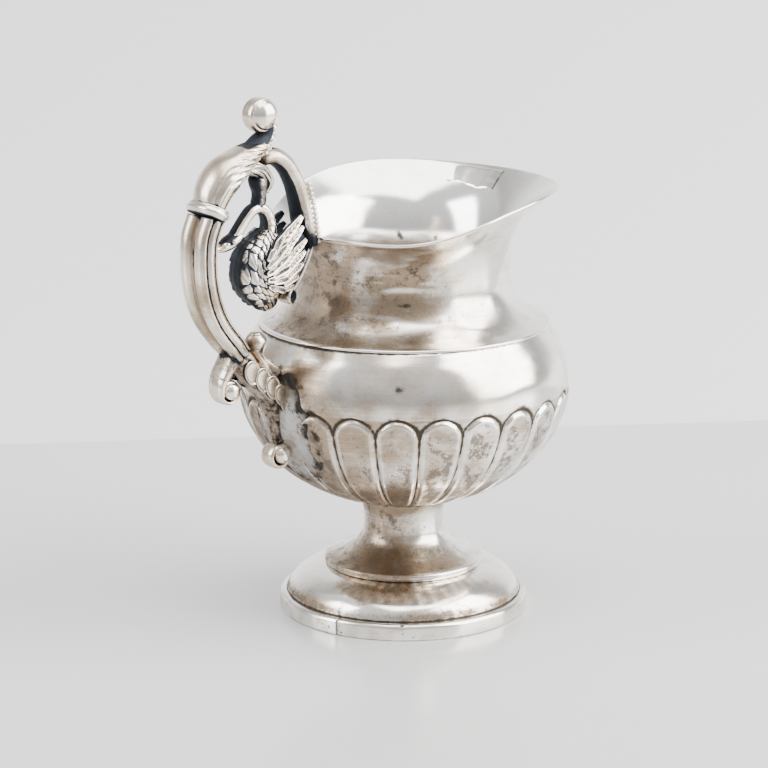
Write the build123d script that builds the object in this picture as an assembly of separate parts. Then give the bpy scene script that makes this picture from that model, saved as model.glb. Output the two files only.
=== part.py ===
from build123d import *
import os
from math import cos, radians, sin, sqrt

os.makedirs("parts", exist_ok=True)

# Silver cream jug on a pedestal foot, with a cast handle that carries a swan.
# Millimetres. +Z is up and the foot rests on Z = 0. +X is the pouring side, -X the handle side.
# "reach" below is the distance from the jug's axis towards the handle, so X = -reach.

# ---- Vessel: driving dimensions ----
SHEET = 0.8                    # thickness of the raised silver sheet
FOOT_R = 32.8                  # foot band, outside
BAND_TOP = 4.3                 # height of the foot band
BAND_WALL = 1.3
BAND_LEDGE_R = 29.4            # inner edge of the band's inward ledge
SEAM_ANGLE = -162              # butt seam of the band, degrees from the spout
SEAM_GAP = 0.3

DOME_R = 30.9                  # where the dome leaves the band
STEP_R = 20.9                  # edge of the stem's flange
STEP_Z = 12.2                  # underside of that flange
STEM_R = 10.35                 # narrowest part of the stem
BOWL_BASE_Z = 29.6
BOWL_BASE_R = 11.6
BOWL_TOP_Z = 76.2
BOWL_TOP_R = 37.4
RIDGE_R = 37.75                # shoulder ring, outside
RIDGE_TOP_Z = 77.2
WAIST_Z = 89.5                 # narrowest part of the neck
WAIST_R = 27.5
FLARE_POWER = 2.4              # how late the mouth flares out

# Outer profiles, as (radius, height) points from bottom to top.
DOME = [(DOME_R, BAND_TOP), (30.5, 5.6), (29.2, 7.5), (27.0, 9.3), (23.8, 10.9), (STEP_R - 2.6, STEP_Z)]
STEM = [(19.8, 13.8), (17.6, 14.6), (14.7, 16.2), (11.9, 18.2), (10.6, 20.5), (STEM_R, 23.2),
        (10.6, 26.2), (11.5, BOWL_BASE_Z)]
BOWL = [(BOWL_BASE_R, BOWL_BASE_Z), (18.6, 32.0), (25.2, 35.0), (30.5, 38.5), (35.0, 42.5), (38.4, 47.0),
        (40.9, 52.0), (42.4, 57.0), (42.85, 62.0), (42.2, 67.0), (40.3, 72.0), (BOWL_TOP_R, BOWL_TOP_Z)]

# Neck below its waist, as (height, radius) points.
NECK = [(RIDGE_TOP_Z, 36.7), (78.3, 34.2), (80.0, 31.6), (82.5, 29.3), (85.5, 28.0), (WAIST_Z, WAIST_R)]

# Mouth: radius of the rim by angle from the spout, and height of the rim along the side view.
RIM_RADIUS = [(0, 39.1), (60, 39.6), (90, 38.5), (120, 36.0), (150, 32.4), (180, 31.6)]
RIM_SIDE = [(-31.8, 102.3), (-24, 102.2), (-16, 103.8), (0, 108.9), (12, 111.2), (24, 111.9), (39.2, 111.4)]
MOUTH_LEVELS = [92.5, 95.5, 98.5, 101.5, 104.5, 107.5, 110.5, 113.5]
MOUTH_POINTS = 32              # points round each level
PATCH_SHEET = 0.35             # plate let into the inside of the lip
PATCH_DEPTH = 4.6
PATCH_ANGLES = (4, 38)         # degrees from the spout, on the +Y side

# Chased tongues round the lower bowl.
TONGUES = 24
TONGUE_TURN = 2.5              # degrees from the spout to the first tongue's middle
TONGUE_TOP_Z = 60.4
TONGUE_FOOT_Z = 31.0
GROOVE_WIDTH = 0.7
GROOVE_DEPTH = 0.35

# ---- Handle: driving dimensions ----
STRAP_WIDTH = 10.2
STRAP_THICK = 3.4
STRAP_SET_IN = 1.3              # middle of the bar, in from the strap's line
REED_R = 2.4                   # two reeds on the outer face
EDGE_REED_R = 1.5              # one reed along each side
STRAP_PATH = [(64.2, 111.3), (66.1, 106.5), (66.6, 101.0), (66.3, 95.5), (65.1, 90.0), (62.8, 84.8),
              (59.3, 80.0), (55.5, 75.8)]
COLLAR_AT = (62.7, 112.6)
COLLAR_SIZE = (8.2, 12.2, 2.4)     # through the strap, across it, along it
COLLAR_TILT = 26                   # degrees that the strap's top leans in towards the jug
BALL_AT = (46.2, 134.6)
BALL_R = 4.25
BALL_WIDTH = 4.6
VOLUTE_AT = (58.0, 66.8)
VOLUTE_R = 3.1
VOLUTE_WIDTH = 5.4
TERMINAL_AT = (42.3, 47.8)
TERMINAL_R = 3.35
TERMINAL_WIDTH = 4.6
BOSS_R = 1.9
PLATE_SHEET = 0.45                 # solder plate between the handle's foot and the bowl

# Cast limbs, as (reach, height, thickness in the side view, width across) stations.
SHEATH = [(62.2, 113.8, 6.6, 10.4), (60.6, 117.4, 8.2, 11.6), (57.6, 120.9, 8.4, 11.8), (53.4, 123.8, 6.4, 10.8),
          (49.6, 125.9, 4.4, 9.0), (46.6, 127.0, 3.2, 7.4)]
BALL_NECK = [(46.4, 126.0, 4.4, 5.6), (45.6, 128.2, 4.6, 4.4), (46.1, 131.6, 5.0, 4.0)]
ARM = [(45.4, 123.4, 3.6, 4.6), (41.6, 123.4, 4.4, 5.4), (38.0, 120.6, 4.8, 5.8), (35.4, 116.0, 4.8, 6.2),
       (34.0, 111.0, 4.4, 7.0), (33.2, 106.0, 3.6, 8.0), (32.2, 100.6, 2.8, 8.4)]
UNDER_LEAF = [(52.4, 121.8, 2.0, 7.0), (49.2, 121.2, 3.0, 7.2), (46.2, 119.2, 2.8, 6.0), (45.8, 116.6, 2.0, 4.0)]
PENDANT = [(46.2, 116.6, 2.4, 3.0), (46.8, 114.6, 2.0, 2.6), (46.9, 112.6, 2.2, 2.8)]
SWAN_NECK = [(54.4, 104.6, 3.0, 3.2), (52.2, 107.6, 2.6, 2.8), (49.7, 110.5, 2.6, 2.8), (46.8, 111.4, 2.8, 3.0),
             (44.5, 109.2, 3.0, 3.4), (44.1, 105.6, 3.4, 4.2), (46.0, 101.4, 4.6, 6.0)]
SWAN_HEAD = [(54.0, 104.9, 2.8, 3.2), (56.6, 104.1, 3.6, 3.6), (58.8, 103.4, 2.2, 2.4), (64.3, 102.5, 1.2, 1.8)]
SWAN_BODY = [(44.8, 104.6, 6.0, 5.4), (47.4, 100.6, 12.2, 8.6), (48.0, 96.0, 15.0, 9.6), (46.6, 91.6, 13.6, 8.8),
             (44.6, 87.6, 8.0, 6.0), (43.8, 86.2, 3.0, 3.0)]
WING = [(37.2, 109.2, 1.2, 1.6), (39.0, 105.4, 6.8, 2.2), (41.0, 100.6, 9.6, 2.6), (42.4, 96.0, 9.6, 2.6),
        (43.2, 91.4, 5.0, 1.8)]
WING_SPREAD = 5.2                  # half the distance between the wings
TAIL = [(30.4, 101.2, 1.8, 4.6), (33.4, 97.4, 2.2, 5.0), (36.6, 93.0, 2.6, 5.0), (39.6, 88.4, 3.4, 4.6)]
BRACKET = [(55.0, 74.0, 3.6, 7.4), (50.9, 71.0, 5.4, 8.4), (46.7, 67.0, 6.0, 8.6), (43.4, 61.6, 4.4, 6.8),
           (42.4, 55.4, 3.4, 4.8), (41.8, 50.4, 2.8, 3.8)]
VOLUTE_ARM = [(57.0, 77.0, 4.0, 8.6), (59.0, 74.0, 3.6, 7.4), (60.4, 71.0, 3.0, 6.2), (60.6, 68.0, 2.2, 5.0)]
BUD_STALK = [(47.0, 70.4, 2.2, 3.0), (47.5, 73.2, 1.8, 2.4), (48.1, 76.0, 2.6, 3.2)]
BUD_AT = (48.3, 77.8)
BUD_R = 2.85


# ---- Helpers ----
def smooth_through(knots, x, level_start=True):
    """Value at x of a smooth curve through the knots, level at its end and, if asked, at its start."""
    xs = [knot[0] for knot in knots]
    ys = [knot[1] for knot in knots]
    i = max(0, min(len(xs) - 2, sum(1 for knot_x in xs if knot_x <= x) - 1))
    slopes = [0.0] * len(xs)
    if not level_start:
        slopes[0] = (ys[1] - ys[0]) / (xs[1] - xs[0])
    for k in range(1, len(xs) - 1):
        slopes[k] = (ys[k + 1] - ys[k - 1]) / (xs[k + 1] - xs[k - 1])
    span = xs[i + 1] - xs[i]
    t = min(1.0, max(0.0, (x - xs[i]) / span))
    rise = (1 + 2 * t) * (1 - t) ** 2 * ys[i] + t * t * (3 - 2 * t) * ys[i + 1]
    lean = t * (1 - t) ** 2 * slopes[i] - t * t * (1 - t) * slopes[i + 1]
    return rise + lean * span


def inset(profile, depth):
    """The (radius, height) profile moved towards the axis by depth, at right angles to itself."""
    moved = []
    for i, (r, z) in enumerate(profile):
        before = profile[max(i - 1, 0)]
        after = profile[min(i + 1, len(profile) - 1)]
        dr, dz = after[0] - before[0], after[1] - before[1]
        length = sqrt(dr * dr + dz * dz)
        moved.append((r - depth * dz / length, z + depth * dr / length))
    return moved


def profile_curve(profile):
    return Spline([(r, 0, z) for r, z in profile])


def turned(edges):
    """Solid of revolution about Z from closed edges in the XZ plane."""
    return revolve(make_face(edges), Axis.Z)


def turned_outline(points):
    return turned(Polyline([(r, 0, z) for r, z in points], close=True))


def turned_shell(profile, wall):
    """Sheet-metal shell whose outside is a smooth curve through the profile; its ends are level."""
    inner = inset(profile, wall)
    inner[0] = (inner[0][0], profile[0][1])
    inner[-1] = (inner[-1][0], profile[-1][1])
    outside, inside = profile_curve(profile), profile_curve(inner)
    return turned([outside, inside, Line(outside @ 0, inside @ 0), Line(outside @ 1, inside @ 1)])


def turned_plug(profile, depth=0.0):
    """Solid under the profile, out to the axis, after moving the profile in by depth."""
    curve = profile_curve(inset(profile, depth) if depth else profile)
    low, high = curve @ 0, curve @ 1
    return turned([curve, Polyline([low, (0, 0, low.Z), (0, 0, high.Z), high])])


def in_handle_plane(reach, height, y=0.0):
    return Vector(-reach, y, height)


def limb(stations, y=0.0):
    """Cast limb: oval sections through the stations, square to the limb's own line."""
    sections = []
    for i, (reach, height, thick, wide) in enumerate(stations):
        before = stations[max(i - 1, 0)]
        after = stations[min(i + 1, len(stations) - 1)]
        along = in_handle_plane(after[0], after[1]) - in_handle_plane(before[0], before[1])
        plane = Plane(origin=in_handle_plane(reach, height, y), x_dir=(0, 1, 0), z_dir=along)
        sections.append(plane * Ellipse(wide / 2, thick / 2))
    return loft(sections)


def across_cylinder(at, radius, width):
    """Round bar that lies across the handle, along Y."""
    return Pos(*in_handle_plane(*at)) * Rot(90, 0, 0) * Cylinder(radius, width)


def write(shape, node):
    export_step(shape, f"parts/{node}.step")


# ---- Foot ----
band_outline = [(FOOT_R, 0), (FOOT_R, BAND_TOP - 0.9), (FOOT_R - 0.4, BAND_TOP - 0.3), (FOOT_R - 1.2, BAND_TOP),
                (BAND_LEDGE_R, BAND_TOP), (BAND_LEDGE_R, BAND_TOP - 1), (FOOT_R - BAND_WALL, BAND_TOP - 1),
                (FOOT_R - BAND_WALL, 0)]
seam = Rot(0, 0, SEAM_ANGLE) * Pos(FOOT_R, 0, BAND_TOP / 2) * Box(0.6, SEAM_GAP, BAND_TOP * 2)
foot_rim_band = turned_outline(band_outline) - seam
foot_dome = turned_shell(DOME, SHEET)
stem_outside = profile_curve(STEM)
stem_inside = profile_curve(inset(STEM, SHEET))
flange_edge = Polyline([stem_outside @ 0, (STEP_R - 0.3, 0, STEP_Z + 1.4), (STEP_R, 0, STEP_Z + 0.9),
                        (STEP_R, 0, STEP_Z), (STEP_R - 3.6, 0, STEP_Z), stem_inside @ 0])
stem_top = Line(stem_outside @ 1, stem_inside @ 1)
stem = turned([stem_outside, flange_edge, stem_inside, stem_top])
stem -= Pos(0, 0, BOWL_BASE_Z + 5) * Cylinder(20, 10)

# ---- Bowl, with chased tongues cut as fine grooves ----
bowl_outside = turned_plug(BOWL)
bowl_inside = turned_plug(BOWL, SHEET)
bowl_inside += Pos(0, 0, BOWL_TOP_Z) * Cylinder(BOWL_TOP_R - SHEET, 4)
bowl_inside -= Pos(0, 0, BOWL_BASE_Z + SHEET / 2 - 2) * Cylinder(60, SHEET + 4)
skin = bowl_outside - turned_plug(BOWL, GROOVE_DEPTH)
pitch = 360 / TONGUES
arch_r = BOWL[7][0] * sin(radians(pitch / 2))
arch_z = TONGUE_TOP_Z - arch_r
arch = Cylinder(arch_r + GROOVE_WIDTH / 2, 30) - Cylinder(arch_r - GROOVE_WIDTH / 2, 30)
arch = Pos(BOWL[7][0], 0, arch_z) * Rot(0, 90, 0) * arch
arch -= Pos(BOWL[7][0], 0, arch_z - 10) * Box(40, 40, 20)
leg_height = arch_z - TONGUE_FOOT_Z
leg = Pos(30, 0, TONGUE_FOOT_Z + leg_height / 2) * Box(50, GROOVE_WIDTH, leg_height)
grooves = []
for k in range(TONGUES):
    grooves.append(skin & (Rot(0, 0, TONGUE_TURN + k * pitch) * arch))
    grooves.append(skin & (Rot(0, 0, TONGUE_TURN + (k + 0.5) * pitch) * leg))
bowl = bowl_outside - bowl_inside - grooves

shoulder_ring = turned_outline([(36.2, BOWL_TOP_Z), (BOWL_TOP_R, BOWL_TOP_Z), (RIDGE_R, BOWL_TOP_Z + 0.35),
                                (RIDGE_R, BOWL_TOP_Z + 0.7), (BOWL_TOP_R, RIDGE_TOP_Z), (35.4, RIDGE_TOP_Z)])


# ---- Neck and mouth ----
def rim_height(x):
    return smooth_through(RIM_SIDE, x)


def neck_radius(angle, z):
    """Radius of the outside of the neck and mouth at this angle from the spout."""
    if z <= WAIST_Z:
        return smooth_through(NECK, z, level_start=False)
    rim_r = smooth_through(RIM_RADIUS, abs(angle))
    rise = rim_height(rim_r * cos(radians(angle))) - WAIST_Z
    return WAIST_R + (rim_r - WAIST_R) * ((z - WAIST_Z) / rise) ** FLARE_POWER


def neck_plug(depth):
    """Solid under the outside of the neck and mouth, or under a surface depth inside it."""
    levels = []
    for z in [knot[0] for knot in NECK] + MOUTH_LEVELS:
        points = []
        for k in range(MOUTH_POINTS):
            angle = 360 * k / MOUTH_POINTS
            from_spout = angle - 360 if angle > 180 else angle
            slope = (neck_radius(from_spout, z + 0.2) - neck_radius(from_spout, z)) / 0.2
            r = neck_radius(from_spout, z) - depth * sqrt(1 + slope * slope)
            points.append((r * cos(radians(angle)), r * sin(radians(angle)), z))
        levels.append(make_face(Spline(points, periodic=True)))
    return loft(levels)


rim_line = Spline([(x, -60, z) for x, z in RIM_SIDE])
above_rim = extrude(make_face([rim_line, Polyline([rim_line @ 1, (60, -60, 111.4), (60, -60, 130),
                                                   (-60, -60, 130), (-60, -60, 102.3), rim_line @ 0])]),
                    amount=120, dir=(0, 1, 0))
mouth_solid = neck_plug(0) - above_rim
mouth_inside = neck_plug(SHEET)
neck = mouth_solid - mouth_inside

patch_band = extrude(make_face([rim_line, Pos(0, 0, -PATCH_DEPTH) * rim_line,
                                Line(rim_line @ 0, (rim_line @ 0) - (0, 0, PATCH_DEPTH)),
                                Line(rim_line @ 1, (rim_line @ 1) - (0, 0, PATCH_DEPTH))]),
                     amount=120, dir=(0, 1, 0))
patch_sector = make_face(Polyline([(0, 0, 90)] + [(60 * cos(radians(a)), 60 * sin(radians(a)), 90)
                                                  for a in PATCH_ANGLES], close=True))
lip_patch = (mouth_inside - neck_plug(SHEET + PATCH_SHEET)) & patch_band & extrude(patch_sector, amount=40)

# ---- Handle: upper part ----
strap_line = Spline([in_handle_plane(*point) for point in STRAP_PATH])
strap_start = Plane(origin=strap_line @ 0, x_dir=(0, 1, 0), z_dir=strap_line % 0)
strap_section = Pos(0, STRAP_SET_IN) * Rectangle(STRAP_WIDTH, STRAP_THICK)
for side in (-1, 1):
    strap_section += Pos(side * 2.6, STRAP_SET_IN - 0.6) * Circle(REED_R)
    strap_section += Pos(side * 4.1, STRAP_SET_IN + 0.4) * Circle(EDGE_REED_R)
handle_strap = sweep(strap_start * strap_section, path=strap_line)

collar_block = fillet(Box(*COLLAR_SIZE).edges(), 1.1)
handle_collar = Pos(*in_handle_plane(*COLLAR_AT)) * Rot(0, COLLAR_TILT, 0) * collar_block
handle_strap -= handle_collar
leaf_sheath = limb(SHEATH) - handle_collar
thumb_ball = across_cylinder(BALL_AT, BALL_R - 0.3, BALL_WIDTH)
thumb_ball = fillet(thumb_ball.edges(), 1.2)
thumb_bosses = [Pos(*in_handle_plane(*BALL_AT, y)) * Sphere(2.5) for y in (-BALL_WIDTH / 2, BALL_WIDTH / 2)]
thumb_bosses = Compound([boss - thumb_ball for boss in thumb_bosses])
thumb_neck = limb(BALL_NECK) - leaf_sheath - thumb_ball
upper_arm = limb(ARM) - leaf_sheath - thumb_neck - mouth_solid
under_leaf = limb(UNDER_LEAF) - leaf_sheath - upper_arm
swan_neck = limb(SWAN_NECK)
swan_head = limb(SWAN_HEAD) - handle_strap - swan_neck
pendant_stem = limb(PENDANT) - under_leaf - swan_neck
swan_body = limb(SWAN_BODY) - swan_neck
wings = [limb(WING, side * WING_SPREAD) - swan_body - swan_neck - upper_arm for side in (-1, 1)]
swan_tail = limb(TAIL) - swan_body - upper_arm - mouth_solid - wings[0] - wings[1]

# ---- Handle: lower part, on the bowl ----
lower_volute = fillet(across_cylinder(VOLUTE_AT, VOLUTE_R, VOLUTE_WIDTH).edges(), 0.6)
volute_bosses = Compound([Pos(*in_handle_plane(*VOLUTE_AT, y)) * Sphere(BOSS_R) - lower_volute
                          for y in (-VOLUTE_WIDTH / 2, VOLUTE_WIDTH / 2)])
plate_shape = Pos(-50, 0, 55) * Rot(0, 90, 0) * extrude(Ellipse(14.5, 12.4), amount=20)
solder_plate = (turned_plug(BOWL, -PLATE_SHEET) - bowl_outside) & plate_shape
vessel = bowl_outside + solder_plate
volute_arm = limb(VOLUTE_ARM) - handle_strap - across_cylinder(VOLUTE_AT, VOLUTE_R, 20)
bracket_leaf = limb(BRACKET) - handle_strap - volute_arm - vessel
terminal_scroll = fillet(across_cylinder(TERMINAL_AT, TERMINAL_R, TERMINAL_WIDTH).edges(), 0.8)
terminal_bosses = Compound([Pos(*in_handle_plane(*TERMINAL_AT, y)) * Sphere(2.3) - terminal_scroll - vessel
                            for y in (-TERMINAL_WIDTH / 2, TERMINAL_WIDTH / 2)])
terminal_scroll = terminal_scroll - bracket_leaf - vessel
bud_ball = Pos(*in_handle_plane(*BUD_AT)) * Sphere(BUD_R)
scroll_bud = limb(BUD_STALK) + bud_ball - bracket_leaf - handle_strap - vessel

for node, shape in [
    ("foot_rim_band", foot_rim_band), ("foot_dome", foot_dome), ("stem", stem), ("bowl", bowl),
    ("shoulder_ring", shoulder_ring), ("neck", neck), ("lip_patch", lip_patch),
    ("handle_strap", handle_strap), ("handle_collar", handle_collar), ("leaf_sheath", leaf_sheath),
    ("thumb_neck", thumb_neck), ("thumb_ball", thumb_ball), ("thumb_bosses", thumb_bosses),
    ("upper_arm", upper_arm), ("under_leaf", under_leaf), ("pendant_stem", pendant_stem),
    ("swan_neck", swan_neck), ("swan_head", swan_head), ("swan_body", swan_body),
    ("swan_wing_near", wings[0]), ("swan_wing_far", wings[1]), ("swan_tail", swan_tail),
    ("volute_arm", volute_arm), ("lower_volute", lower_volute), ("volute_bosses", volute_bosses),
    ("bracket_leaf", bracket_leaf), ("terminal_scroll", terminal_scroll),
    ("terminal_bosses", terminal_bosses), ("scroll_bud", scroll_bud), ("solder_plate", solder_plate),
]:
    write(shape, node)
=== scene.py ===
import math

import bmesh
import bpy
import numpy as np
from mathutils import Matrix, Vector


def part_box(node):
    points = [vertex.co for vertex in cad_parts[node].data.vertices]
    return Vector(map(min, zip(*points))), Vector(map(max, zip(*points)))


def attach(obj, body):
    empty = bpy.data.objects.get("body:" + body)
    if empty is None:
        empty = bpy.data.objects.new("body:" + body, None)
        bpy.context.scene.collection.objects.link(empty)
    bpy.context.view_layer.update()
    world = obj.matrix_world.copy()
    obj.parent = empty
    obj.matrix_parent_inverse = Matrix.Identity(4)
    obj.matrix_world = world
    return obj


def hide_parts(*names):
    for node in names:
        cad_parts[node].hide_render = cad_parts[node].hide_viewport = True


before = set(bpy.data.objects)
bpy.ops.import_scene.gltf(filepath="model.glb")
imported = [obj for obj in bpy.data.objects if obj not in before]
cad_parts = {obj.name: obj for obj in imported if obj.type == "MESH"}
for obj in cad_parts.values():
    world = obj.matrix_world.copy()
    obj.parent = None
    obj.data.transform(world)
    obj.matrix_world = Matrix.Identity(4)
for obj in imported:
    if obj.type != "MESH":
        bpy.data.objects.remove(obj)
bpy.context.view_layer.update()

# Silver cream jug: the looks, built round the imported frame.
# Shapes are written in millimetres and become metres where a mesh is made.
# "reach" is the distance from the jug's axis towards the handle, so x = -reach.
MM = 0.001

foot_low, foot_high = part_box("foot_rim_band")
FOOT_R = (foot_high.x - foot_low.x) / 2 / MM
BAND_TOP = foot_high.z / MM
RIDGE_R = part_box("shoulder_ring")[1].x / MM
RIDGE_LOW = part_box("shoulder_ring")[0].z / MM
RIDGE_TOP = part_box("shoulder_ring")[1].z / MM
BOWL_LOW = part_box("bowl")[0].z / MM
SHEET = 0.8
TONGUES = 24
TONGUE_TURN = math.radians(2.5)      # first tongue's middle, from the spout
PITCH = math.tau / TONGUES
WAIST_R, WAIST_Z = 27.5, 89.5


# ---------------------------------------------------------------- numbers
def through(points, count):
    """Smooth curve through the points (Catmull-Rom), as count samples."""
    p = np.array(points, float)
    first, last = 2 * p[0] - p[1], 2 * p[-1] - p[-2]
    p = np.vstack([first, p, last])
    u = np.linspace(0, len(points) - 1, count)
    i = np.minimum(u.astype(int), len(points) - 2)
    t = (u - i)[:, None]
    a, b, c, d = p[i], p[i + 1], p[i + 2], p[i + 3]
    return 0.5 * (2 * b + (c - a) * t + (2 * a - 5 * b + 4 * c - d) * t ** 2
                  + (3 * b - a - 3 * c + d) * t ** 3)


def evenly(curve, count):
    """The same polyline with count points evenly spaced along its length."""
    steps = np.linalg.norm(np.diff(curve, axis=0), axis=1)
    along = np.concatenate([[0], np.cumsum(steps)])
    at = np.linspace(0, along[-1], count)
    return np.stack([np.interp(at, along, curve[:, k]) for k in range(curve.shape[1])], -1)


def softened(outline, times):
    """Closed outline with its corners cut again and again, which rounds them."""
    p = np.array(outline, float)
    for _ in range(times):
        after = np.roll(p, -1, 0)
        p = np.stack([0.75 * p + 0.25 * after, 0.25 * p + 0.75 * after], 1).reshape(-1, p.shape[1])
    return p


def smooth_step(low, high, x):
    t = np.clip((x - low) / (high - low), 0, 1)
    return t * t * (3 - 2 * t)


def hump(centre, width, x):
    return np.exp(-((x - centre) / width) ** 2)


def near_angle(a, centre, width):
    """Hump round the jug: 1 at the angle centre, all in degrees."""
    return hump(0, width, (a - centre + 180) % 360 - 180)


def unit(vectors):
    return vectors / (np.linalg.norm(vectors, axis=-1, keepdims=True) + 1e-12)


def sideways(line):
    """Unit headings along a plane curve, and the unit vectors to their left."""
    heading = unit(np.gradient(line, axis=0))
    return heading, np.stack([-heading[:, 1], heading[:, 0]], -1)


def ripple(points, size, seed):
    """Slow, irregular waves over space, from about -1 to 1."""
    rng = np.random.default_rng(seed)
    total = np.zeros(points.shape[:-1])
    for _ in range(9):
        direction = unit(rng.normal(size=3))
        wave = points @ direction * math.tau / (size * rng.uniform(0.6, 1.6)) + rng.uniform(0, math.tau)
        total += np.sin(wave)
    return total / 4.5


def grid_normals(grid):
    """Unit normals of a grid whose columns close round; outward when rows go up and columns turn left."""
    along = np.gradient(grid, axis=0)
    around = np.roll(grid, -1, 1) - np.roll(grid, 1, 1)
    return unit(np.cross(around, along))


# ---------------------------------------------------------------- meshes
LAYERS = ("oxide", "tarnish", "speckle", "bright")


def all_layers(points, known):
    """The four layers of the materials for every point, zero where not given."""
    return {key: np.broadcast_to(known.get(key, 0.0), points.shape[:-1]) for key in LAYERS}


def make_piece(name, node, points, faces, material, layers):
    """Mesh piece from points in millimetres and quads; layers are values per point for the material."""
    mesh = bpy.data.meshes.new(name)
    points = np.asarray(points, np.float32).reshape(-1, 3)
    faces = np.asarray(faces, np.int32)
    mesh.vertices.add(len(points))
    mesh.vertices.foreach_set("co", (points * MM).ravel())
    mesh.loops.add(faces.size)
    mesh.loops.foreach_set("vertex_index", faces.ravel())
    mesh.polygons.add(len(faces))
    mesh.polygons.foreach_set("loop_start", np.arange(0, faces.size, 4, dtype=np.int32))
    mesh.update(calc_edges=True)
    for layer, values in layers.items():
        attribute = mesh.attributes.new(layer, "FLOAT", "POINT")
        attribute.data.foreach_set("value", np.asarray(values, np.float32).ravel())
    weld = bmesh.new()
    weld.from_mesh(mesh)
    bmesh.ops.remove_doubles(weld, verts=weld.verts, dist=1e-7)
    bmesh.ops.recalc_face_normals(weld, faces=weld.faces)
    weld.to_mesh(mesh)
    weld.free()
    mesh.shade_smooth()
    piece = bpy.data.objects.new(name, mesh)
    bpy.context.scene.collection.objects.link(piece)
    mesh.materials.append(material)
    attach(piece, "root")
    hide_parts(node)


def grid_faces(rows, columns, rows_close=False, columns_close=True):
    r = np.arange(rows if rows_close else rows - 1)
    c = np.arange(columns if columns_close else columns - 1)
    r0, c0 = np.meshgrid(r, c, indexing="ij")
    r1, c1 = (r0 + 1) % rows, (c0 + 1) % columns
    quads = np.stack([r0 * columns + c0, r0 * columns + c1, r1 * columns + c1, r1 * columns + c0], -1)
    return quads.reshape(-1, 4)


def joined(parts):
    """Several (points, faces, layers) shapes as one."""
    points, faces, start = [], [], 0
    for grid, quads, _ in parts:
        points.append(grid.reshape(-1, 3))
        faces.append(quads + start)
        start += len(points[-1])
    layers = {key: np.concatenate([values[key].ravel() for _, _, values in parts]) for key in LAYERS}
    return np.vstack(points), np.vstack(faces), layers


def angles(count):
    return np.arange(count) * math.tau / count


def revolved(profile, columns):
    """Grid [row, column, xyz] of (radius, height) turned about Z; columns is a count or the angles."""
    turn = angles(columns) if np.isscalar(columns) else columns
    r, z = np.asarray(profile)[:, :1], np.asarray(profile)[:, 1:2]
    return np.stack([r * np.cos(turn), r * np.sin(turn), z + 0 * turn], -1)


def shell(outer, inner_step=1, open_foot=True):
    """Closed sheet-metal shell from its outer grid: rounded lip at the top, plain or rounded foot.
    Returns the rows' grid and, for each row, the outer row that it came from and whether it is inside."""
    normal = grid_normals(outer)
    inner = outer - SHEET * normal
    picked = list(range(len(outer) - 1, -1, -inner_step))
    if picked[-1] != 0:
        picked.append(0)

    def arc(row, direction):
        tangent = unit(outer[row] - outer[row - 1] if direction > 0 else outer[0] - outer[1])
        middle = outer[row] - SHEET / 2 * normal[row]
        turns = np.linspace(0, math.pi, 7)[1:-1][::direction]
        return [middle + SHEET / 2 * (math.cos(t) * normal[row] + math.sin(t) * tangent) for t in turns]

    top = arc(len(outer) - 1, 1)
    rows = list(outer) + top + [inner[i] for i in picked]
    source = list(range(len(outer))) + [len(outer) - 1] * len(top) + picked
    inside = [0] * len(outer) + [0.5] * len(top) + [1] * len(picked)
    if open_foot:
        foot = arc(0, -1)
        rows += foot
        source += [0] * len(foot)
        inside += [0.5] * len(foot)
    return np.array(rows), np.array(source), np.array(inside, float)


# ---------------------------------------------------------------- materials
def material_kit(name):
    made = bpy.data.materials.new(name)
    made.use_nodes = True
    tree = made.node_tree
    tree.nodes.clear()
    output = tree.nodes.new("ShaderNodeOutputMaterial")
    shader = tree.nodes.new("ShaderNodeBsdfPrincipled")
    tree.links.new(shader.outputs["BSDF"], output.inputs["Surface"])
    return made, tree, shader


def add(tree, kind, settings=None, **inputs):
    """New node; an input is a value, or an output socket to link to."""
    made = tree.nodes.new(kind)
    for key, value in (settings or {}).items():
        setattr(made, key, value)
    for key, value in inputs.items():
        socket = made.inputs[int(key[1:]) if key[0] == "i" and key[1:].isdigit() else key.replace("_", " ")]
        if isinstance(value, bpy.types.NodeSocket):
            tree.links.new(value, socket)
        else:
            socket.default_value = value
    return made


def maths(tree, operation, a, b=0.0, clamp=False):
    made = add(tree, "ShaderNodeMath", {"operation": operation, "use_clamp": clamp}, i0=a, i1=b)
    return made.outputs[0]


def ramped(tree, value, low, high, to_low=0.0, to_high=1.0):
    made = add(tree, "ShaderNodeMapRange", {"interpolation_type": "SMOOTHSTEP"}, Value=value,
               From_Min=low, From_Max=high, To_Min=to_low, To_Max=to_high)
    return made.outputs[0]


def blended(tree, factor, a, b):
    made = add(tree, "ShaderNodeMix", {"data_type": "RGBA"})
    for key, value in ((0, factor), (6, a), (7, b)):
        if isinstance(value, bpy.types.NodeSocket):
            tree.links.new(value, made.inputs[key])
        else:
            made.inputs[key].default_value = value
    return made.outputs[2]


def waves(tree, scale, detail, roughness, stretch=(1, 1, 1), distortion=0.0):
    place = add(tree, "ShaderNodeTexCoord").outputs["Object"]
    moved = add(tree, "ShaderNodeMapping", Vector=place, Scale=stretch).outputs[0]
    made = add(tree, "ShaderNodeTexNoise", Vector=moved, Scale=scale, Detail=detail,
               Roughness=roughness, Distortion=distortion)
    return made.outputs[0]


def layer(tree, name):
    return add(tree, "ShaderNodeAttribute", {"attribute_name": name}).outputs["Fac"]


# Light tone for rubbed areas, also used for painted highlights.
RUBBED_AND_HIGHLIGHT = (0.95, 0.935, 0.905, 1)
BROWN_HAZE = (0.30, 0.225, 0.155, 1)
DARK_SPECKLE = (0.15, 0.12, 0.095, 1)


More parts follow.
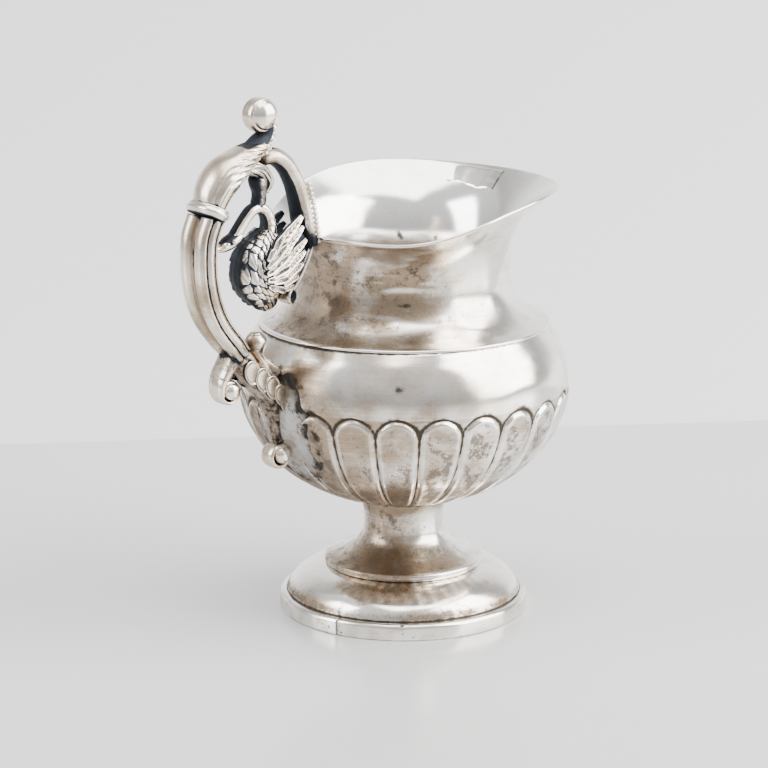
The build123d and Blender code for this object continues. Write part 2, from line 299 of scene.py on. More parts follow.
def silver(name, colour, warm, gloss, dark, brushed=1.0, pits=1.0):
    """Old polished silver. Point layers: the first is black patina in the hollows and also painted shade on
    shaded sides, undersides and gaps; tarnish is brown haze, speckle is fine dark mottling, bright is a
    rubbed tone that also serves as painted highlights."""
    made, tree, shader = material_kit(name)
    oxide, tarnish, speckle, bright = [layer(tree, key) for key in LAYERS]
    blotch = waves(tree, 95, 6, 0.62, distortion=0.4)
    fine = waves(tree, 620, 7, 0.62)
    grain = waves(tree, 2400, 4, 0.7)
    streak = waves(tree, 60, 8, 0.7, stretch=(1, 1, 26))

    def times(value, share):
        return maths(tree, "MULTIPLY", value, share)

    def broken(value, noise, share):
        """The value plus a share of the noise, which swings round zero."""
        return maths(tree, "ADD", value, times(maths(tree, "SUBTRACT", noise, 0.5), share))

    # Each mask is broken up by noise, so that no border is a clean line.
    # The black mask paints patina in the hollows and painted shade; the bright mask paints rubbed areas and
    # painted highlights.
    black = ramped(tree, broken(oxide, fine, 0.9), 0.28, 0.72)
    haze = ramped(tree, broken(broken(tarnish, blotch, 1.3), streak, 0.5), 0.12, 1.0)
    mottle = times(ramped(tree, broken(broken(speckle, fine, 2.4), grain, 2.2), 0.5, 0.95), 0.85)
    base = blended(tree, ramped(tree, blotch, 0.35, 0.68), colour, warm)
    for mask, tone in ((bright, RUBBED_AND_HIGHLIGHT), (haze, BROWN_HAZE), (mottle, DARK_SPECKLE), (black, dark)):
        base = blended(tree, mask, base, tone)
    rough = broken(gloss, streak, 0.16 * brushed)
    for mask, more in ((haze, 0.22), (mottle, 0.3), (black, 0.35)):
        rough = maths(tree, "ADD", rough, times(mask, more), clamp=True)
    height = broken(broken(0.0, grain, 0.5 * pits), streak, 0.5 * brushed)
    height = maths(tree, "SUBTRACT", height, times(mottle, 0.5 * pits))
    bump = add(tree, "ShaderNodeBump", Strength=0.35, Distance=0.00006, Height=height)
    shader.inputs["Metallic"].default_value = 1.0
    tree.links.new(base, shader.inputs["Base Color"])
    tree.links.new(rough, shader.inputs["Roughness"])
    tree.links.new(bump.outputs[0], shader.inputs["Normal"])
    return made


SHEET_SILVER = silver("sheet_silver_worn", (0.93, 0.885, 0.82, 1), (0.86, 0.765, 0.65, 1), 0.12,
                      (0.07, 0.058, 0.045, 1))
CAST_SILVER = silver("cast_silver_worn", (0.83, 0.745, 0.64, 1), (0.69, 0.575, 0.455, 1), 0.19,
                     (0.028, 0.032, 0.04, 1), brushed=0.3)
SOLDER_GREY = silver("solder_grey_matt", (0.38, 0.372, 0.36, 1), (0.29, 0.275, 0.255, 1), 0.4,
                     (0.06, 0.055, 0.05, 1), brushed=0.2, pits=1.6)


# ---------------------------------------------------------------- foot and stem
def sheet(name, node, points, rows_close=True, **layers):
    """Piece of silver sheet from a grid whose columns close round."""
    faces = grid_faces(*points.shape[:2], rows_close=rows_close)
    make_piece(name, node, points, faces, SHEET_SILVER, all_layers(points, layers))


def degrees_of(points):
    return np.degrees(np.arctan2(points[..., 1], points[..., 0]))


def moved_outward(points, amount):
    """Points moved away from the Z axis by amount."""
    away = points.copy()
    r = np.linalg.norm(points[..., :2], axis=-1, keepdims=True) + 1e-9
    away[..., :2] += points[..., :2] / r * np.asarray(amount)[..., None]
    return away


def from_handle(points):
    """Angle in degrees from the handle, 0 to 180."""
    return 180 - np.abs(degrees_of(points))


def over_rows(values, z):
    """One value per row, spread over the row's points."""
    return values[:, None] * np.ones_like(z)


def foot_band():
    """Flat band under the foot, with a soldered seam, a nick and stains."""
    r, top, seam = FOOT_R, BAND_TOP, -162
    outline = [(r - 1.3, 0.0), (r - 0.25, 0.0), (r, 0.2), (r, top - 1.2), (r - 0.2, top - 0.6),
               (r - 0.7, top - 0.12), (r - 1.3, top), (29.7, top), (29.4, top - 0.2), (29.4, top - 0.8),
               (29.6, top - 1.0), (r - 1.6, top - 1.0), (r - 1.3, top - 1.2), (r - 1.3, 0.25)]
    turn = angles(420)
    turn = turn - 0.85 * np.sin(turn - math.radians(seam))      # points crowd at the seam
    points = revolved(softened(outline, 3), turn)
    a, z = degrees_of(points), points[..., 2]
    outside = smooth_step(r - 1.2, r - 0.2, np.linalg.norm(points[..., :2], axis=-1))
    gap = near_angle(a, seam, 0.32)
    nick = near_angle(a, -131, 1.6) * hump(top - 0.4, 0.45, z)
    points = moved_outward(points, outside * (0.05 * ripple(points, 22, 3) - 0.3 * gap - 0.18 * nick) - 0.04)
    radius, z = np.linalg.norm(points[..., :2], axis=-1), points[..., 2]
    oxide = 0.95 * gap * outside + 0.7 * nick + 0.9 * (1 - smooth_step(r - 2.0, r - 1.5, radius))
    for angle, height, width, tall, depth in ((-126, 1.1, 1.6, 0.5, 0.55), (-166, 1.8, 1.0, 0.7, 0.6),
                                              (-159.5, 1.0, 1.1, 0.6, 0.7)):
        oxide += depth * near_angle(a, angle, width) * hump(height, tall, z)
    # Painted contact shadow: a dark ring along the band's bottom edge, outside only.
    oxide += 0.5 * hump(0.05, 0.25, z) * outside
    stain = near_angle(a, seam + 1, 1.3) + 0.6 * smooth_step(0.2, 0.8, ripple(points, 8, 6))
    sheet("foot_band", "foot_rim_band", points, oxide=oxide, speckle=0.14 + 0.2 * stain, bright=0.45,
          tarnish=0.2 + 0.2 * ripple(points, 14, 5) + 0.5 * stain)


STEP_R, STEP_Z = 20.9, 12.2            # the ring where the stem stands on the dome
# Outlines as (radius, height).
DOME = [(30.9, BAND_TOP), (30.5, 5.6), (29.2, 7.5), (27.0, 9.3), (23.8, 10.9), (STEP_R - 2.6, STEP_Z)]
STEM = [(19.8, 13.8), (17.6, 14.6), (14.7, 16.2), (11.9, 18.2), (10.6, 20.5), (10.35, 23.2),
        (10.6, 26.2), (11.5, BOWL_LOW)]


def foot_dome():
    """Domed foot above the band, with faint radial streaks in front that are a painted reflection of the
    bowl's tongues.
    """
    outer = revolved(evenly(through(DOME, 200), 44), 480)
    outer = moved_outward(outer, 0.03 * ripple(outer, 18, 11))
    points, _, inside = shell(outer, inner_step=3)
    a, z = degrees_of(points), points[..., 2]
    # Dark line where the dome meets the band, and a painted shadow under the flange's edge.
    edge = hump(BAND_TOP, 0.55, z) + 0.35 * hump(STEP_Z - 0.2, 0.3, z)
    under = over_rows(inside, z)
    front = near_angle(a, -125, 52)
    # Painted reflection of the bowl's tongues: radial streaks of darker tone across the dome's upper front.
    reflected_spokes = np.sin(np.radians(a) * TONGUES * 2 + 1.5 * ripple(points, 20, 24))
    high = smooth_step(8.8, 10.0, z)
    reflected_rays = smooth_step(0.5, 0.95, reflected_spokes * ripple(points * [1, 1, 0], 5, 25) + 0.5)
    reflected_rays = reflected_rays * front * high * (1 - under)
    tarnish = 0.12 + (0.36 + 0.2 * reflected_spokes) * front * high + 0.4 * under
    lower = hump(5.4, 1.0, z) * (0.4 + 0.6 * np.maximum(0, ripple(points, 9, 8)))
    lower += 0.5 * hump(6.0, 1.8, z) * (near_angle(a, 170, 26) + near_angle(a, -118, 16))
    sheet("foot_dome_shell", "foot_dome", points, tarnish=tarnish + lower,
          oxide=edge * (1 - under) + 0.3 * reflected_rays,
          speckle=0.14 + lower + 0.16 * front * high * (1 + reflected_spokes), bright=0.4 * (1 - front * high))


def stem():
    """Stepped ring on the dome and the waisted stem that flares under the bowl."""
    curve = evenly(through(STEM, 300), 64)
    inner = curve + SHEET * sideways(curve)[1]
    inner[-1, 1] = curve[-1, 1]
    rim = [(-3.6, 0), (-0.35, -0.35), (-0.05, -0.15), (0, 0.4), (0, 0.85), (-0.08, 1.15), (-0.3, 1.4),
           (-0.65, 1.52)]
    outline = np.vstack([np.add(rim, (STEP_R, STEP_Z)), curve, inner[::-1]])
    points = revolved(outline, 300)
    a, z = degrees_of(points), points[..., 2]
    radius = np.linalg.norm(points[..., :2], axis=-1)
    outside = over_rows(np.arange(len(outline)) < len(rim) + len(curve), z)
    points = moved_outward(points, outside * 0.03 * ripple(points, 14, 31))
    side = near_angle(a, -168, 58)
    join = hump(BOWL_LOW, 0.7, z) * outside
    foot = hump(16.2, 2.2, z) * near_angle(a, -125, 70)
    patchy = smooth_step(-0.3, 0.7, ripple(points, 5, 33))
    # Dark where the stem meets the bowl, and a painted shadow line along the flange's underside.
    oxide = 0.5 * join + 0.4 * hump(STEP_Z, 0.2, z) * (radius > STEP_R - 1)
    flat = smooth_step(15, 18, radius) * smooth_step(STEP_R - 0.7, STEP_R - 1.5, radius)
    flat = flat * near_angle(a, -125, 70)
    sheet("stem_shell", "stem", points, oxide=oxide + 0.2 * side * patchy,
          tarnish=0.26 + 0.55 * side + 0.25 * foot + 0.3 * flat + 0.6 * hump(BOWL_LOW, 2.5, z) * outside,
          speckle=0.24 + (0.2 + 0.36 * patchy) * np.maximum(foot, side) + 0.12 * flat,
          bright=0.4 * (1 - side) * (1 - flat) + 0.5 * (radius > STEP_R - 0.8))


# ---------------------------------------------------------------- bowl
BOWL = [(11.6, BOWL_LOW), (18.6, 32.0), (25.2, 35.0), (30.5, 38.5), (35.0, 42.5), (38.4, 47.0),
        (40.9, 52.0), (42.4, 57.0), (42.85, 62.0), (42.2, 67.0), (40.3, 72.0), (37.4, RIDGE_LOW)]
TONGUE_TOP = 60.4
ARCH_R = 42.4 * math.sin(PITCH / 2)
ARCH_Z = TONGUE_TOP - ARCH_R


def tongue_field(turn, radius, z):
    """Distance in millimetres inside the edge of the nearest tongue, negative outside it."""
    part = (turn - TONGUE_TURN) / PITCH
    across = (part - np.round(part)) * PITCH * radius
    in_arch = ARCH_R - np.hypot(across, z - ARCH_Z)
    return np.where(z > ARCH_Z, in_arch, PITCH / 2 * radius - np.abs(across))


def bowl():
    """Bowl with a row of raised tongues, round-topped, and grooves between them."""
    count = 28                        # columns in a tongue, crowded at its edges
    step = np.arange(TONGUES * count) / count
    part = step - np.floor(step) - 0.5
    turn = TONGUE_TURN + (np.floor(step) + part - 0.62 * np.sin(math.tau * part) / math.tau) * PITCH
    curve = through(BOWL, 1200)
    heights = np.concatenate([np.linspace(BOWL_LOW, 31.2, 7)[:-1], np.linspace(31.2, 51.5, 40)[:-1],
                              np.linspace(51.5, 61.2, 46)[:-1], np.linspace(61.2, RIDGE_LOW, 26)])
    radii = np.interp(heights, curve[:, 1], curve[:, 0])
    base = [(r, BOWL_LOW) for r in (0.02, 4, 8, 11)]
    profile = np.vstack([base, np.stack([radii, heights], -1)])
    outer = revolved(profile, turn)
    z = outer[..., 2]
    radius = np.linalg.norm(outer[..., :2], axis=-1)
    inside = tongue_field(turn, radius, z)
    width = 0.24 + 0.2 * hump(ARCH_Z, 5.0, z) + 0.06 * smooth_step(34, 50, z)
    fade = smooth_step(30.6, 33.0, z)
    raised = 0.42 * (1 - np.exp(-np.maximum(0, inside - width) / 0.5)) + 0.16 * hump(1.15, 0.5, inside)
    raised -= 0.12 * smooth_step(1.6, 3.2, inside)
    groove = -0.34 * np.exp(-(np.maximum(0, np.abs(inside) - 0.25 * width) / (0.75 * width)) ** 2)
    spandrel = (inside < 0) & (z > ARCH_Z)
    amount = np.where(spandrel, groove, raised + groove) * fade * (z < 62)
    normal = grid_normals(outer)
    dents = 0.06 * ripple(outer, 15, 41) + 0.03 * ripple(outer, 8, 43)
    outer = outer + normal * (amount + dents * smooth_step(31, 36, z))[..., None]
    outer[0, :, :2] = 0
    points, source, hidden = shell(outer, inner_step=5, open_foot=False)
    points[-1, :, :2] = 0
    a, z = degrees_of(points), points[..., 2]
    show = over_rows(1 - hidden, z)
    d, w = inside[source], width[source]
    below = (z < TONGUE_TOP + 3) * fade[source]
    line = hump(0, w, d) * below * (0.8 + 0.25 * ripple(points, 5, 17))
    corner = smooth_step(-2.6, -0.2, d) * (d < 0) * (z > ARCH_Z) * (0.45 + 0.3 * ripple(points, 6, 3))
    over = 0.42 * hump(TONGUE_TOP + 1.1, 0.16, z)
    over = over * smooth_step(0.0, 0.7, ripple(points * [1, 1, 0], 13, 9) + 0.1)
    handle_side = hump(0, 46, from_handle(points))
    oxide = line + corner * below + over + 0.5 * hump(RIDGE_LOW, 0.3, z) + 0.6 * hump(BOWL_LOW + 1.2, 1, z)
    oxide += 0.55 * handle_side * hump(RIDGE_LOW, 1.5, z)
    face = smooth_step(1.3, 2.3, d) * below * (z < TONGUE_TOP)
    which = np.sin(7.1 * np.round((turn - TONGUE_TURN) / PITCH))      # tells the tongues apart
    worn = smooth_step(-0.1, 0.6, ripple(points, 6, 15) + 0.35 * which)
    speckle = face * (0.27 + 0.1 * which + 0.46 * worn + 0.1 * hump(40, 7, z))
    speckle += 0.3 * hump(35, 5, z) * smooth_step(30, 32, z)
    speckle += 0.16 * smooth_step(0.1, 0.7, ripple(points, 12, 27)) * (z > 60)
    speckle += 0.3 * handle_side * smooth_step(72, 62, z)
    tarnish = 0.22 + 0.34 * handle_side * smooth_step(78, 60, z)
    tarnish += 0.25 * hump(33, 6, z) + 0.28 * below * (z < TONGUE_TOP)
    tarnish += 0.28 * smooth_step(0.2, 0.8, ripple(points, 26, 19)) * (z > 60)
    tarnish += 0.35 * hump(0, 30, from_handle(points)) * smooth_step(76, 66, z)
    # a dark line round the solder under the handle
    half_width = np.where(points[..., 1] > 0, 6.8, 12.6)
    spread = np.hypot(points[..., 1] / half_width, (z - 55) / 14.4)
    by_solder = hump(1.06, 0.12, spread) * (points[..., 0] < 0)
    dent = near_angle(a, -132, 2.4) * hump(68.2, 1.3, z)
    oxide += 0.65 * by_solder * smooth_step(-0.6, 0.4, ripple(points, 6, 21)) + 0.7 * dent
    speckle += 0.5 * dent + 0.3 * by_solder
    # Painted highlights: a light line along each tongue's raised border, and the side that faces the right
    # softbox made lighter.
    border = hump(0.95, 0.45, d) * below
    bright = 0.6 * smooth_step(-110, -60, a) * smooth_step(40, -10, a) + 0.75 * border
    tarnish = tarnish * (1 - 0.5 * border) * show + 0.3 * over_rows(hidden, z)
    sheet("bowl_shell", "bowl", points, rows_close=False, oxide=oxide * show, tarnish=tarnish,
          speckle=speckle * show, bright=bright * show)


def shoulder_ring():
    """Worn wire round the join of bowl and neck."""
    low, top = RIDGE_LOW, RIDGE_TOP
    outline = [(36.0, low), (37.2, low), (RIDGE_R, low + 0.25), (RIDGE_R, low + 0.7),
               (37.3, top), (35.6, top)]
    points = revolved(softened(outline, 3), 320)
    points = moved_outward(points, 0.05 * ripple(points, 9, 51) - 0.05)
    shade = 0.45 + 0.5 * near_angle(degrees_of(points), 180, 60)
    sheet("shoulder_wire", "shoulder_ring", points, tarnish=0.15, speckle=0.05, bright=0.6,
          oxide=smooth_step(low + 0.3, low + 0.02, points[..., 2]) * shade)


# ---------------------------------------------------------------- neck and mouth
# The neck's radius by height up to the waist; then the rim's radius by degrees from the spout, and
# its height by distance from the axis towards the spout.
NECK = [(RIDGE_TOP, 36.7), (78.3, 34.2), (80.0, 31.6), (82.5, 29.3), (85.5, 28.0), (WAIST_Z, WAIST_R)]
RIM_RADIUS = [(0, 39.1), (60, 39.6), (90, 38.5), (120, 36.0), (150, 32.4), (180, 31.6)]
RIM_SIDE = [(-31.8, 102.3), (-24, 102.2), (-16, 103.8), (0, 108.9), (12, 111.2), (24, 111.9),
            (39.2, 111.4)]
FLARE_POWER = 2.4


def read_curve(knots, x, level_start=True):
    """Value at x of the smooth curve through (x, value) knots."""
    k = np.array(knots, float)
    slope = np.zeros(len(k))
    slope[1:-1] = (k[2:, 1] - k[:-2, 1]) / (k[2:, 0] - k[:-2, 0])
    if not level_start:
        slope[0] = (k[1, 1] - k[0, 1]) / (k[1, 0] - k[0, 0])
    x = np.clip(x, k[0, 0], k[-1, 0])
    i = np.clip(np.searchsorted(k[:, 0], x, side="right") - 1, 0, len(k) - 2)
    span = k[i + 1, 0] - k[i, 0]
    t = (x - k[i, 0]) / span
    rise = (1 + 2 * t) * (1 - t) ** 2 * k[i, 1] + t * t * (3 - 2 * t) * k[i + 1, 1]
    lean = t * (1 - t) ** 2 * slope[i] - t * t * (1 - t) * slope[i + 1]
    return rise + lean * span


def rim_at(turn):
    """Radius and height of the rim at each angle."""
    away = np.abs((np.degrees(turn) + 180) % 360 - 180)
    radius = read_curve(RIM_RADIUS, away)
    return radius, read_curve(RIM_SIDE, radius * np.cos(turn))


def neck_outside(turn, share):
    """Points of the neck's outside; share is 0 at the shoulder, 1 at the waist and 2 at the rim."""
    rim_r, rim_z = rim_at(turn)
    low_z = RIDGE_TOP + (WAIST_Z - RIDGE_TOP) * np.minimum(share, 1) ** 1.3
    t = np.maximum(share - 1, 0)
    z = np.where(share <= 1, low_z, WAIST_Z + (rim_z - WAIST_Z) * t)
    r = np.where(share <= 1, read_curve(NECK, low_z, level_start=False),
                 WAIST_R + (rim_r - WAIST_R) * t ** FLARE_POWER)
    return np.stack([r * np.cos(turn), r * np.sin(turn), z], -1)


def neck():
    """Neck that curves in to a waist and flares out to the wavy rim and lip."""
    turn = angles(320)
    share = np.concatenate([np.linspace(0, 1, 42)[:-1], np.linspace(1, 2, 62)])
    turns, shares = np.meshgrid(turn, share)
    outer = neck_outside(turns, shares)
    normal = grid_normals(outer)
    outer = outer + normal * (0.05 * ripple(outer, 24, 61) + 0.02 * ripple(outer, 8, 62))[..., None]
    points, source, hidden = shell(outer)
    z, a = points[..., 2], degrees_of(points)
    by_handle = hump(0, 34, from_handle(points))
    outside, inside = over_rows(hidden < 0.4, z), over_rows(hidden > 0.6, z)
    rim = over_rows(np.abs(hidden - 0.5) < 0.1, z)
    near_rim = np.maximum(rim, over_rows(smooth_step(1.95, 2.0, share[source]), z))
    patches = smooth_step(-0.1, 0.7, ripple(points * [1, 1, 1.8], 19, 65))
    dark = by_handle * (0.65 + 0.6 * patches) + 0.25 * hump(0, 60, from_handle(points)) * patches
    dark += 0.2 * near_angle(a, -100, 50) * hump(84, 5, z)
    drift = ripple(points * [1, 1, 3.2], 21, 66) + 0.5 * ripple(points * [1, 1, 6], 9, 69)
    band = hump(52, 17, from_handle(points)) * smooth_step(-0.55, 0.5, drift) * smooth_step(79, 83, z)
    dark += 0.9 * band
    fine = smooth_step(-0.2, 0.8, ripple(points * [1, 1, 2.2], 6, 68))
    blots = smooth_step(0.1, 0.9, ripple(points * [1, 1, 1.5], 11, 67)) * fine
    oxide = 0.35 * by_handle * hump(RIDGE_TOP, 1.2, z) + 0.55 * hump(0, 26, from_handle(points)) * blots
    oxide += 0.4 * band * smooth_step(0.2, 0.9, drift)
    spot = near_angle(a, -128.5, 2.6) * hump(86.4, 1.2, z) * outside
    stain = near_angle(a, 51 + 0.9 * (z - 93), 2.2) * hump(93.6, 2.2, z)
    stain = (stain + 0.7 * near_angle(a, 31, 2.4) * hump(93.6, 2.0, z)) * inside
    tarnish = outside * (0.22 + dark * (1 - near_rim)) + inside * (0.1 + 0.08 * patches)
    tarnish += 0.5 * inside * smooth_step(96, 90, z)      # warmer down the throat
    # Painted highlight: the side that faces the right softbox is made lighter.
    front = smooth_step(-110, -60, a) * smooth_step(60, 0, a)
    sheet("neck_shell", "neck", points, tarnish=tarnish,
          oxide=oxide * outside * (1 - near_rim) + 0.5 * spot + 0.75 * stain,
          speckle=outside * (0.15 + 0.44 * dark + 0.45 * by_handle * fine) + inside * 0.08,
          bright=0.5 * rim + outside * 0.7 * front + 0.9 * inside)


# ---------------------------------------------------------------- lip patch and solder
def lip_patch():
    """Repair plate soldered inside the mouth, with an uneven edge; it runs out flush away from the lip."""
    rows, columns, wide, tall = 26, 120, 38, 4.6
    turn = np.radians(np.linspace(4, 38, columns))
    turns, downs = np.meshgrid(turn, np.linspace(0, 1, rows))
    rim_z = rim_at(turns)[1]
    depth = tall + 0.5 * np.sin(9 * turns) - 0.15 * (1 - np.cos(23 * turns))
    grid = neck_outside(turns, 1 + (rim_z - 0.5 - downs * depth - WAIST_Z) / (rim_z - WAIST_Z))
    normal = unit(np.cross(np.gradient(grid, axis=0), np.gradient(grid, axis=1)))
    ragged = (0.35 * ripple(grid, 3.2, 71) * (downs > 0.9))[..., None] * [0, 0, 1]
    to_ends = np.minimum(turns - turn[0], turn[-1] - turns) * wide
    edge = np.minimum(np.minimum(downs, 1 - downs) * tall, to_ends)
    flush = smooth_step(34, 22, np.degrees(turns))
    rise = 0.38 * np.sqrt(np.clip(edge / 0.4, 0, 1)) * flush + 0.03 * ripple(grid, 4, 73)
    front = grid + ragged - normal * (SHEET - 0.25 + rise)[..., None]
    back = grid + ragged - normal * (SHEET - 0.25)
    broken = smooth_step(-0.3, 0.5, ripple(grid, 5, 75))
    by_lip = smooth_step(6.2, 4.6, np.degrees(turns))
    line = 0.75 * (edge < 0.22) * np.maximum(broken, by_lip) * (downs > 0.5) + 0.7 * by_lip
    layers = all_layers(front, {"oxide": line, "tarnish": 0.2 + 0.15 * broken,
                                "speckle": 0.12, "bright": 0.6})
    skin = grid_faces(rows, columns, columns_close=False)
    points, faces, layers = joined([(front, skin, layers), (back, skin, layers)])
    # walls between the two skins, all round their border
    number = np.arange(rows * columns).reshape(rows, columns)
    border = np.concatenate([number[0], number[1:, -1], number[-1, -2::-1], number[-2:0:-1, 0]])
    after = np.roll(border, -1)
    walls = np.stack([border, after, after + number.size, border + number.size], -1)
    faces = np.vstack([faces, walls])
    make_piece("lip_patch_plate", "lip_patch", points, faces, SHEET_SILVER, layers)


def solder_plate():
    """Grey lumpy solder that spreads over the tongues under the handle's lower end."""
    out = np.linspace(0, 1, 40)[:, None]
    turn = angles(120)[None, :]
    ragged = 1 + 0.07 * np.sin(3 * turn + 1) + 0.05 * np.sin(7 * turn) + 0.035 * np.sin(13 * turn + 2)
    far_side = np.where(np.cos(turn) > 0, 0.54, 1.0)
    y = (12.4 - 1.6 * np.sin(turn)) * out * np.cos(turn) * ragged * far_side
    z = 55 + 14.2 * out * np.sin(turn) * ragged
    curve = through(BOWL, 1200)
    radius = np.interp(z, curve[:, 1], curve[:, 0])
    lean = np.interp(z, curve[:, 1], np.gradient(curve[:, 0], curve[:, 1]))
    x = -np.sqrt(radius ** 2 - y ** 2)
    surface = np.stack([x, y, z], -1)
    normal = unit(np.stack([x / radius, y / radius, -lean], -1))
    lumps = 0.2 * ripple(surface, 7, 81) + 0.1 * ripple(surface, 3, 82) + 0.05 * ripple(surface, 1.2, 83)
    thick = 0.62 * np.sqrt(1 - out ** 5) + lumps * (1 - out ** 8)
    front = surface + normal * thick[..., None]
    back = surface - normal * (0.35 * (1 - out ** 6))[..., None]
    pit = np.clip(-lumps * 3, 0, 1)
    cloud = smooth_step(-0.3, 0.6, ripple(surface, 6, 84))
    oxide = 0.35 * pit + 0.75 * out ** 5 + 0.25 * cloud * out
    layers = all_layers(front, {"oxide": oxide, "speckle": 0.22 + 0.3 * cloud, "tarnish": 0.4})
    skin = grid_faces(*front.shape[:2])
    points, faces, layers = joined([(front, skin, layers), (back, skin, layers)])
    make_piece("solder_spread", "solder_plate", points, faces, SOLDER_GREY, layers)


# ---------------------------------------------------------------- handle castings
def signed_power(value, power):
    return np.sign(value) * np.abs(value) ** power


def limb(stations, rows, columns, y=0.0, detail=None, caps=(0.7, 0.7), square=1.0, lean=0.0):
    """Bar along a curve in the handle's plane, closed at both ends.
    Stations are (reach, height, thickness in that plane, width along Y).
    detail(s, n, b) is how far points move outward: s runs 0 to 1 along the bar, n is +1 on the left
    of travel and b is +1 towards +Y. Returns the grid with s, n and b."""
    line = evenly(through(stations, 30 * len(stations)), rows)
    heading, side = sideways(line[:, :2])
    s = np.linspace(0, 1, rows)
    order, scale, shift = list(range(rows)), [1.0] * rows, [0.0] * rows
    for quarter_turn in (0.25, 0.5, 0.75, 0.92, 1.0):
        t = quarter_turn * math.pi / 2
        order = [0] + order + [rows - 1]
        scale = [math.cos(t)] + scale + [math.cos(t)]
        shift = [-caps[0] * math.sin(t)] + shift + [caps[1] * math.sin(t)]
    scale[0] = scale[-1] = 0.0
    order, scale, shift = np.array(order), np.array(scale), np.array(shift)
    turn = angles(columns)
    n = signed_power(np.cos(turn), square)[None, :] * np.ones((len(order), 1))
    b = signed_power(np.sin(turn), square)[None, :] * np.ones((len(order), 1))
    th, wide = line[order, 2:3] / 2, line[order, 3:4] / 2
    s = s[order][:, None] * np.ones_like(n)
    out_n, out_b = np.cos(turn) / np.maximum(th, 0.1), np.sin(turn) / np.maximum(wide, 0.1)
    size = np.hypot(out_n, out_b)
    rise = 0.0 if detail is None else detail(s, n, b)
    along_n = scale[:, None] * (n * th + rise * out_n / size)
    along_b = scale[:, None] * (b * wide + rise * out_b / size)
    place = line[order, :2] + heading[order] * (shift * line[order, 2] / 2)[:, None]
    reach = place[:, 0:1] + side[order, 0:1] * along_n
    height = place[:, 1:2] + side[order, 1:2] * along_n
    return np.stack([-reach, y + along_b + lean * s, height], -1), s, n, b


def wheel(centre, profile, columns):
    """Scroll end: profile points (radius, y) turned about a line along Y through centre."""
    turn = angles(columns)
    r, y = np.array(profile, float)[:, 0:1], np.array(profile, float)[:, 1:2]
    return np.stack([-(centre[0] + r * np.cos(turn)), y + 0 * turn, centre[1] + r * np.sin(turn)], -1)


def recess(height, spread):
    """How far each point lies below its neighbours' mean."""
    blur = np.zeros_like(height)
    for i in range(-spread, spread + 1):
        blur += np.roll(height, i, 1)
    blur /= 2 * spread + 1
    return np.clip(blur - height, 0, None)


def bead(centre, size, rings=8, columns=12):
    """Small ball at (x, y, z), size is one radius or three."""
    up = np.linspace(0, math.pi, rings)[:, None]
    turn = angles(columns)[None, :]
    ball = np.stack([np.sin(up) * np.cos(turn), np.sin(up) * np.sin(turn), np.cos(up) + 0 * turn], -1)
    return np.asarray(centre) + ball * np.asarray(size)


def cast(name, node, shapes):
    """Casting made of grids; each shape is (grid, {layer: values})."""
    points, faces, layers = joined([(grid, grid_faces(*grid.shape[:2]), all_layers(grid, values))
                                    for grid, values in shapes])
    make_piece(name, node, points, faces, CAST_SILVER, layers)


def cast_bar(name, node, grid, **layers):
    """Casting made of one grid."""
    cast(name, node, [(grid, layers)])


# The strap's middle line as (reach, height), from the collar down.
STRAP_PATH = [(64.2, 111.3), (66.1, 106.5), (66.6, 101.0), (66.3, 95.5), (65.1, 90.0), (62.8, 84.8),
              (59.3, 80.0), (55.1, 75.3)]


def strap_outline():
    """Section of the strap as (across, outward) points: two reeds with a channel between them on the outer
    face, then on each side a reed and a thin bead, and a plain inner face."""
    across = np.linspace(-5.05, 5.05, 110)
    x = np.abs(across)
    reed = 1.65 - 1.35 * (1 - np.sqrt(np.clip(1 - ((x - 2.95) / 2.15) ** 2, 0, 1)))
    channel = 0.3 - 0.35 * (1 - (x / 0.82) ** 2)
    face = np.stack([across, np.where(x < 0.82, channel, reed)], -1)
    turn = np.radians(np.linspace(70, -65, 18))
    flank = np.stack([4.05 + 1.4 * np.cos(turn), -1.35 + 1.25 * np.sin(turn)], -1)
    turn = np.radians(np.linspace(70, -90, 9))
    bead_edge = np.stack([4.5 + 0.42 * np.cos(turn), -2.98 + 0.36 * np.sin(turn)], -1)
    side = np.vstack([[(4.75, -0.12)], flank, [(4.5, -2.52)], bead_edge])
    inner = np.array([(b, -3.3 - 0.12 * math.cos(b * 0.5)) for b in (3.4, 2.2, 1.1, 0, -1.1, -2.2, -3.4)])
    return np.vstack([face, side, inner, side[::-1] * [-1, 1]])


def handle_strap():
    """Reeded strap that makes the back of the handle."""
    line = evenly(through(STRAP_PATH, 240), 110)
    outward = sideways(line)[1]
    outline = strap_outline()
    taper = 1 - 0.12 * smooth_step(0.88, 1.0, np.linspace(0, 1, len(line))[:, None])
    b, h = outline[:, 0] * taper, outline[:, 1] * taper
    grid = np.stack([-(line[:, 0:1] + outward[:, 0:1] * h), b, line[:, 1:2] + outward[:, 1:2] * h], -1)
    first, last = grid[0].mean(0) + 0 * grid[:1], grid[-1].mean(0) + 0 * grid[:1]
    grid = np.concatenate([first, grid, last])
    x, h = np.abs(outline[:, 0]), outline[:, 1]
    s = np.linspace(0, 1, len(grid))[:, None]
    channel = hump(0, 0.75, x) * (h > -0.2)
    notch = hump(-0.12, 0.3, h) * (x > 4.3) + hump(-2.52, 0.28, h) * (x > 3.9)
    worn = 0.5 + 0.5 * ripple(grid, 7, 92)
    oxide = 0.62 * hump(0, 0.6, x) * (h > -0.2) + 0.9 * notch + 0.4 * (h < -3.2) * (x < 4.0)
    ends = smooth_step(0.955, 1.0, s) + smooth_step(0.04, 0.0, s)
    oxide = oxide + 0.3 * channel * worn + 0.8 * ends
    tarnish = 0.36 + 0.25 * ripple(grid, 13, 91) + 1.2 * channel + 0.3 * smooth_step(0.8, 1.0, s)
    speckle = 0.14 + 0.35 * channel * worn + 0.2 * smooth_step(0.85, 1.0, s)
    bright = 0.35 * hump(3.3, 1.0, x) * (h > 1.0) + 0.3 * (h < -0.4) * (h > -2.2)
    cast_bar("strap_reeded", "handle_strap", grid, oxide=oxide, tarnish=tarnish, speckle=speckle,
             bright=bright)


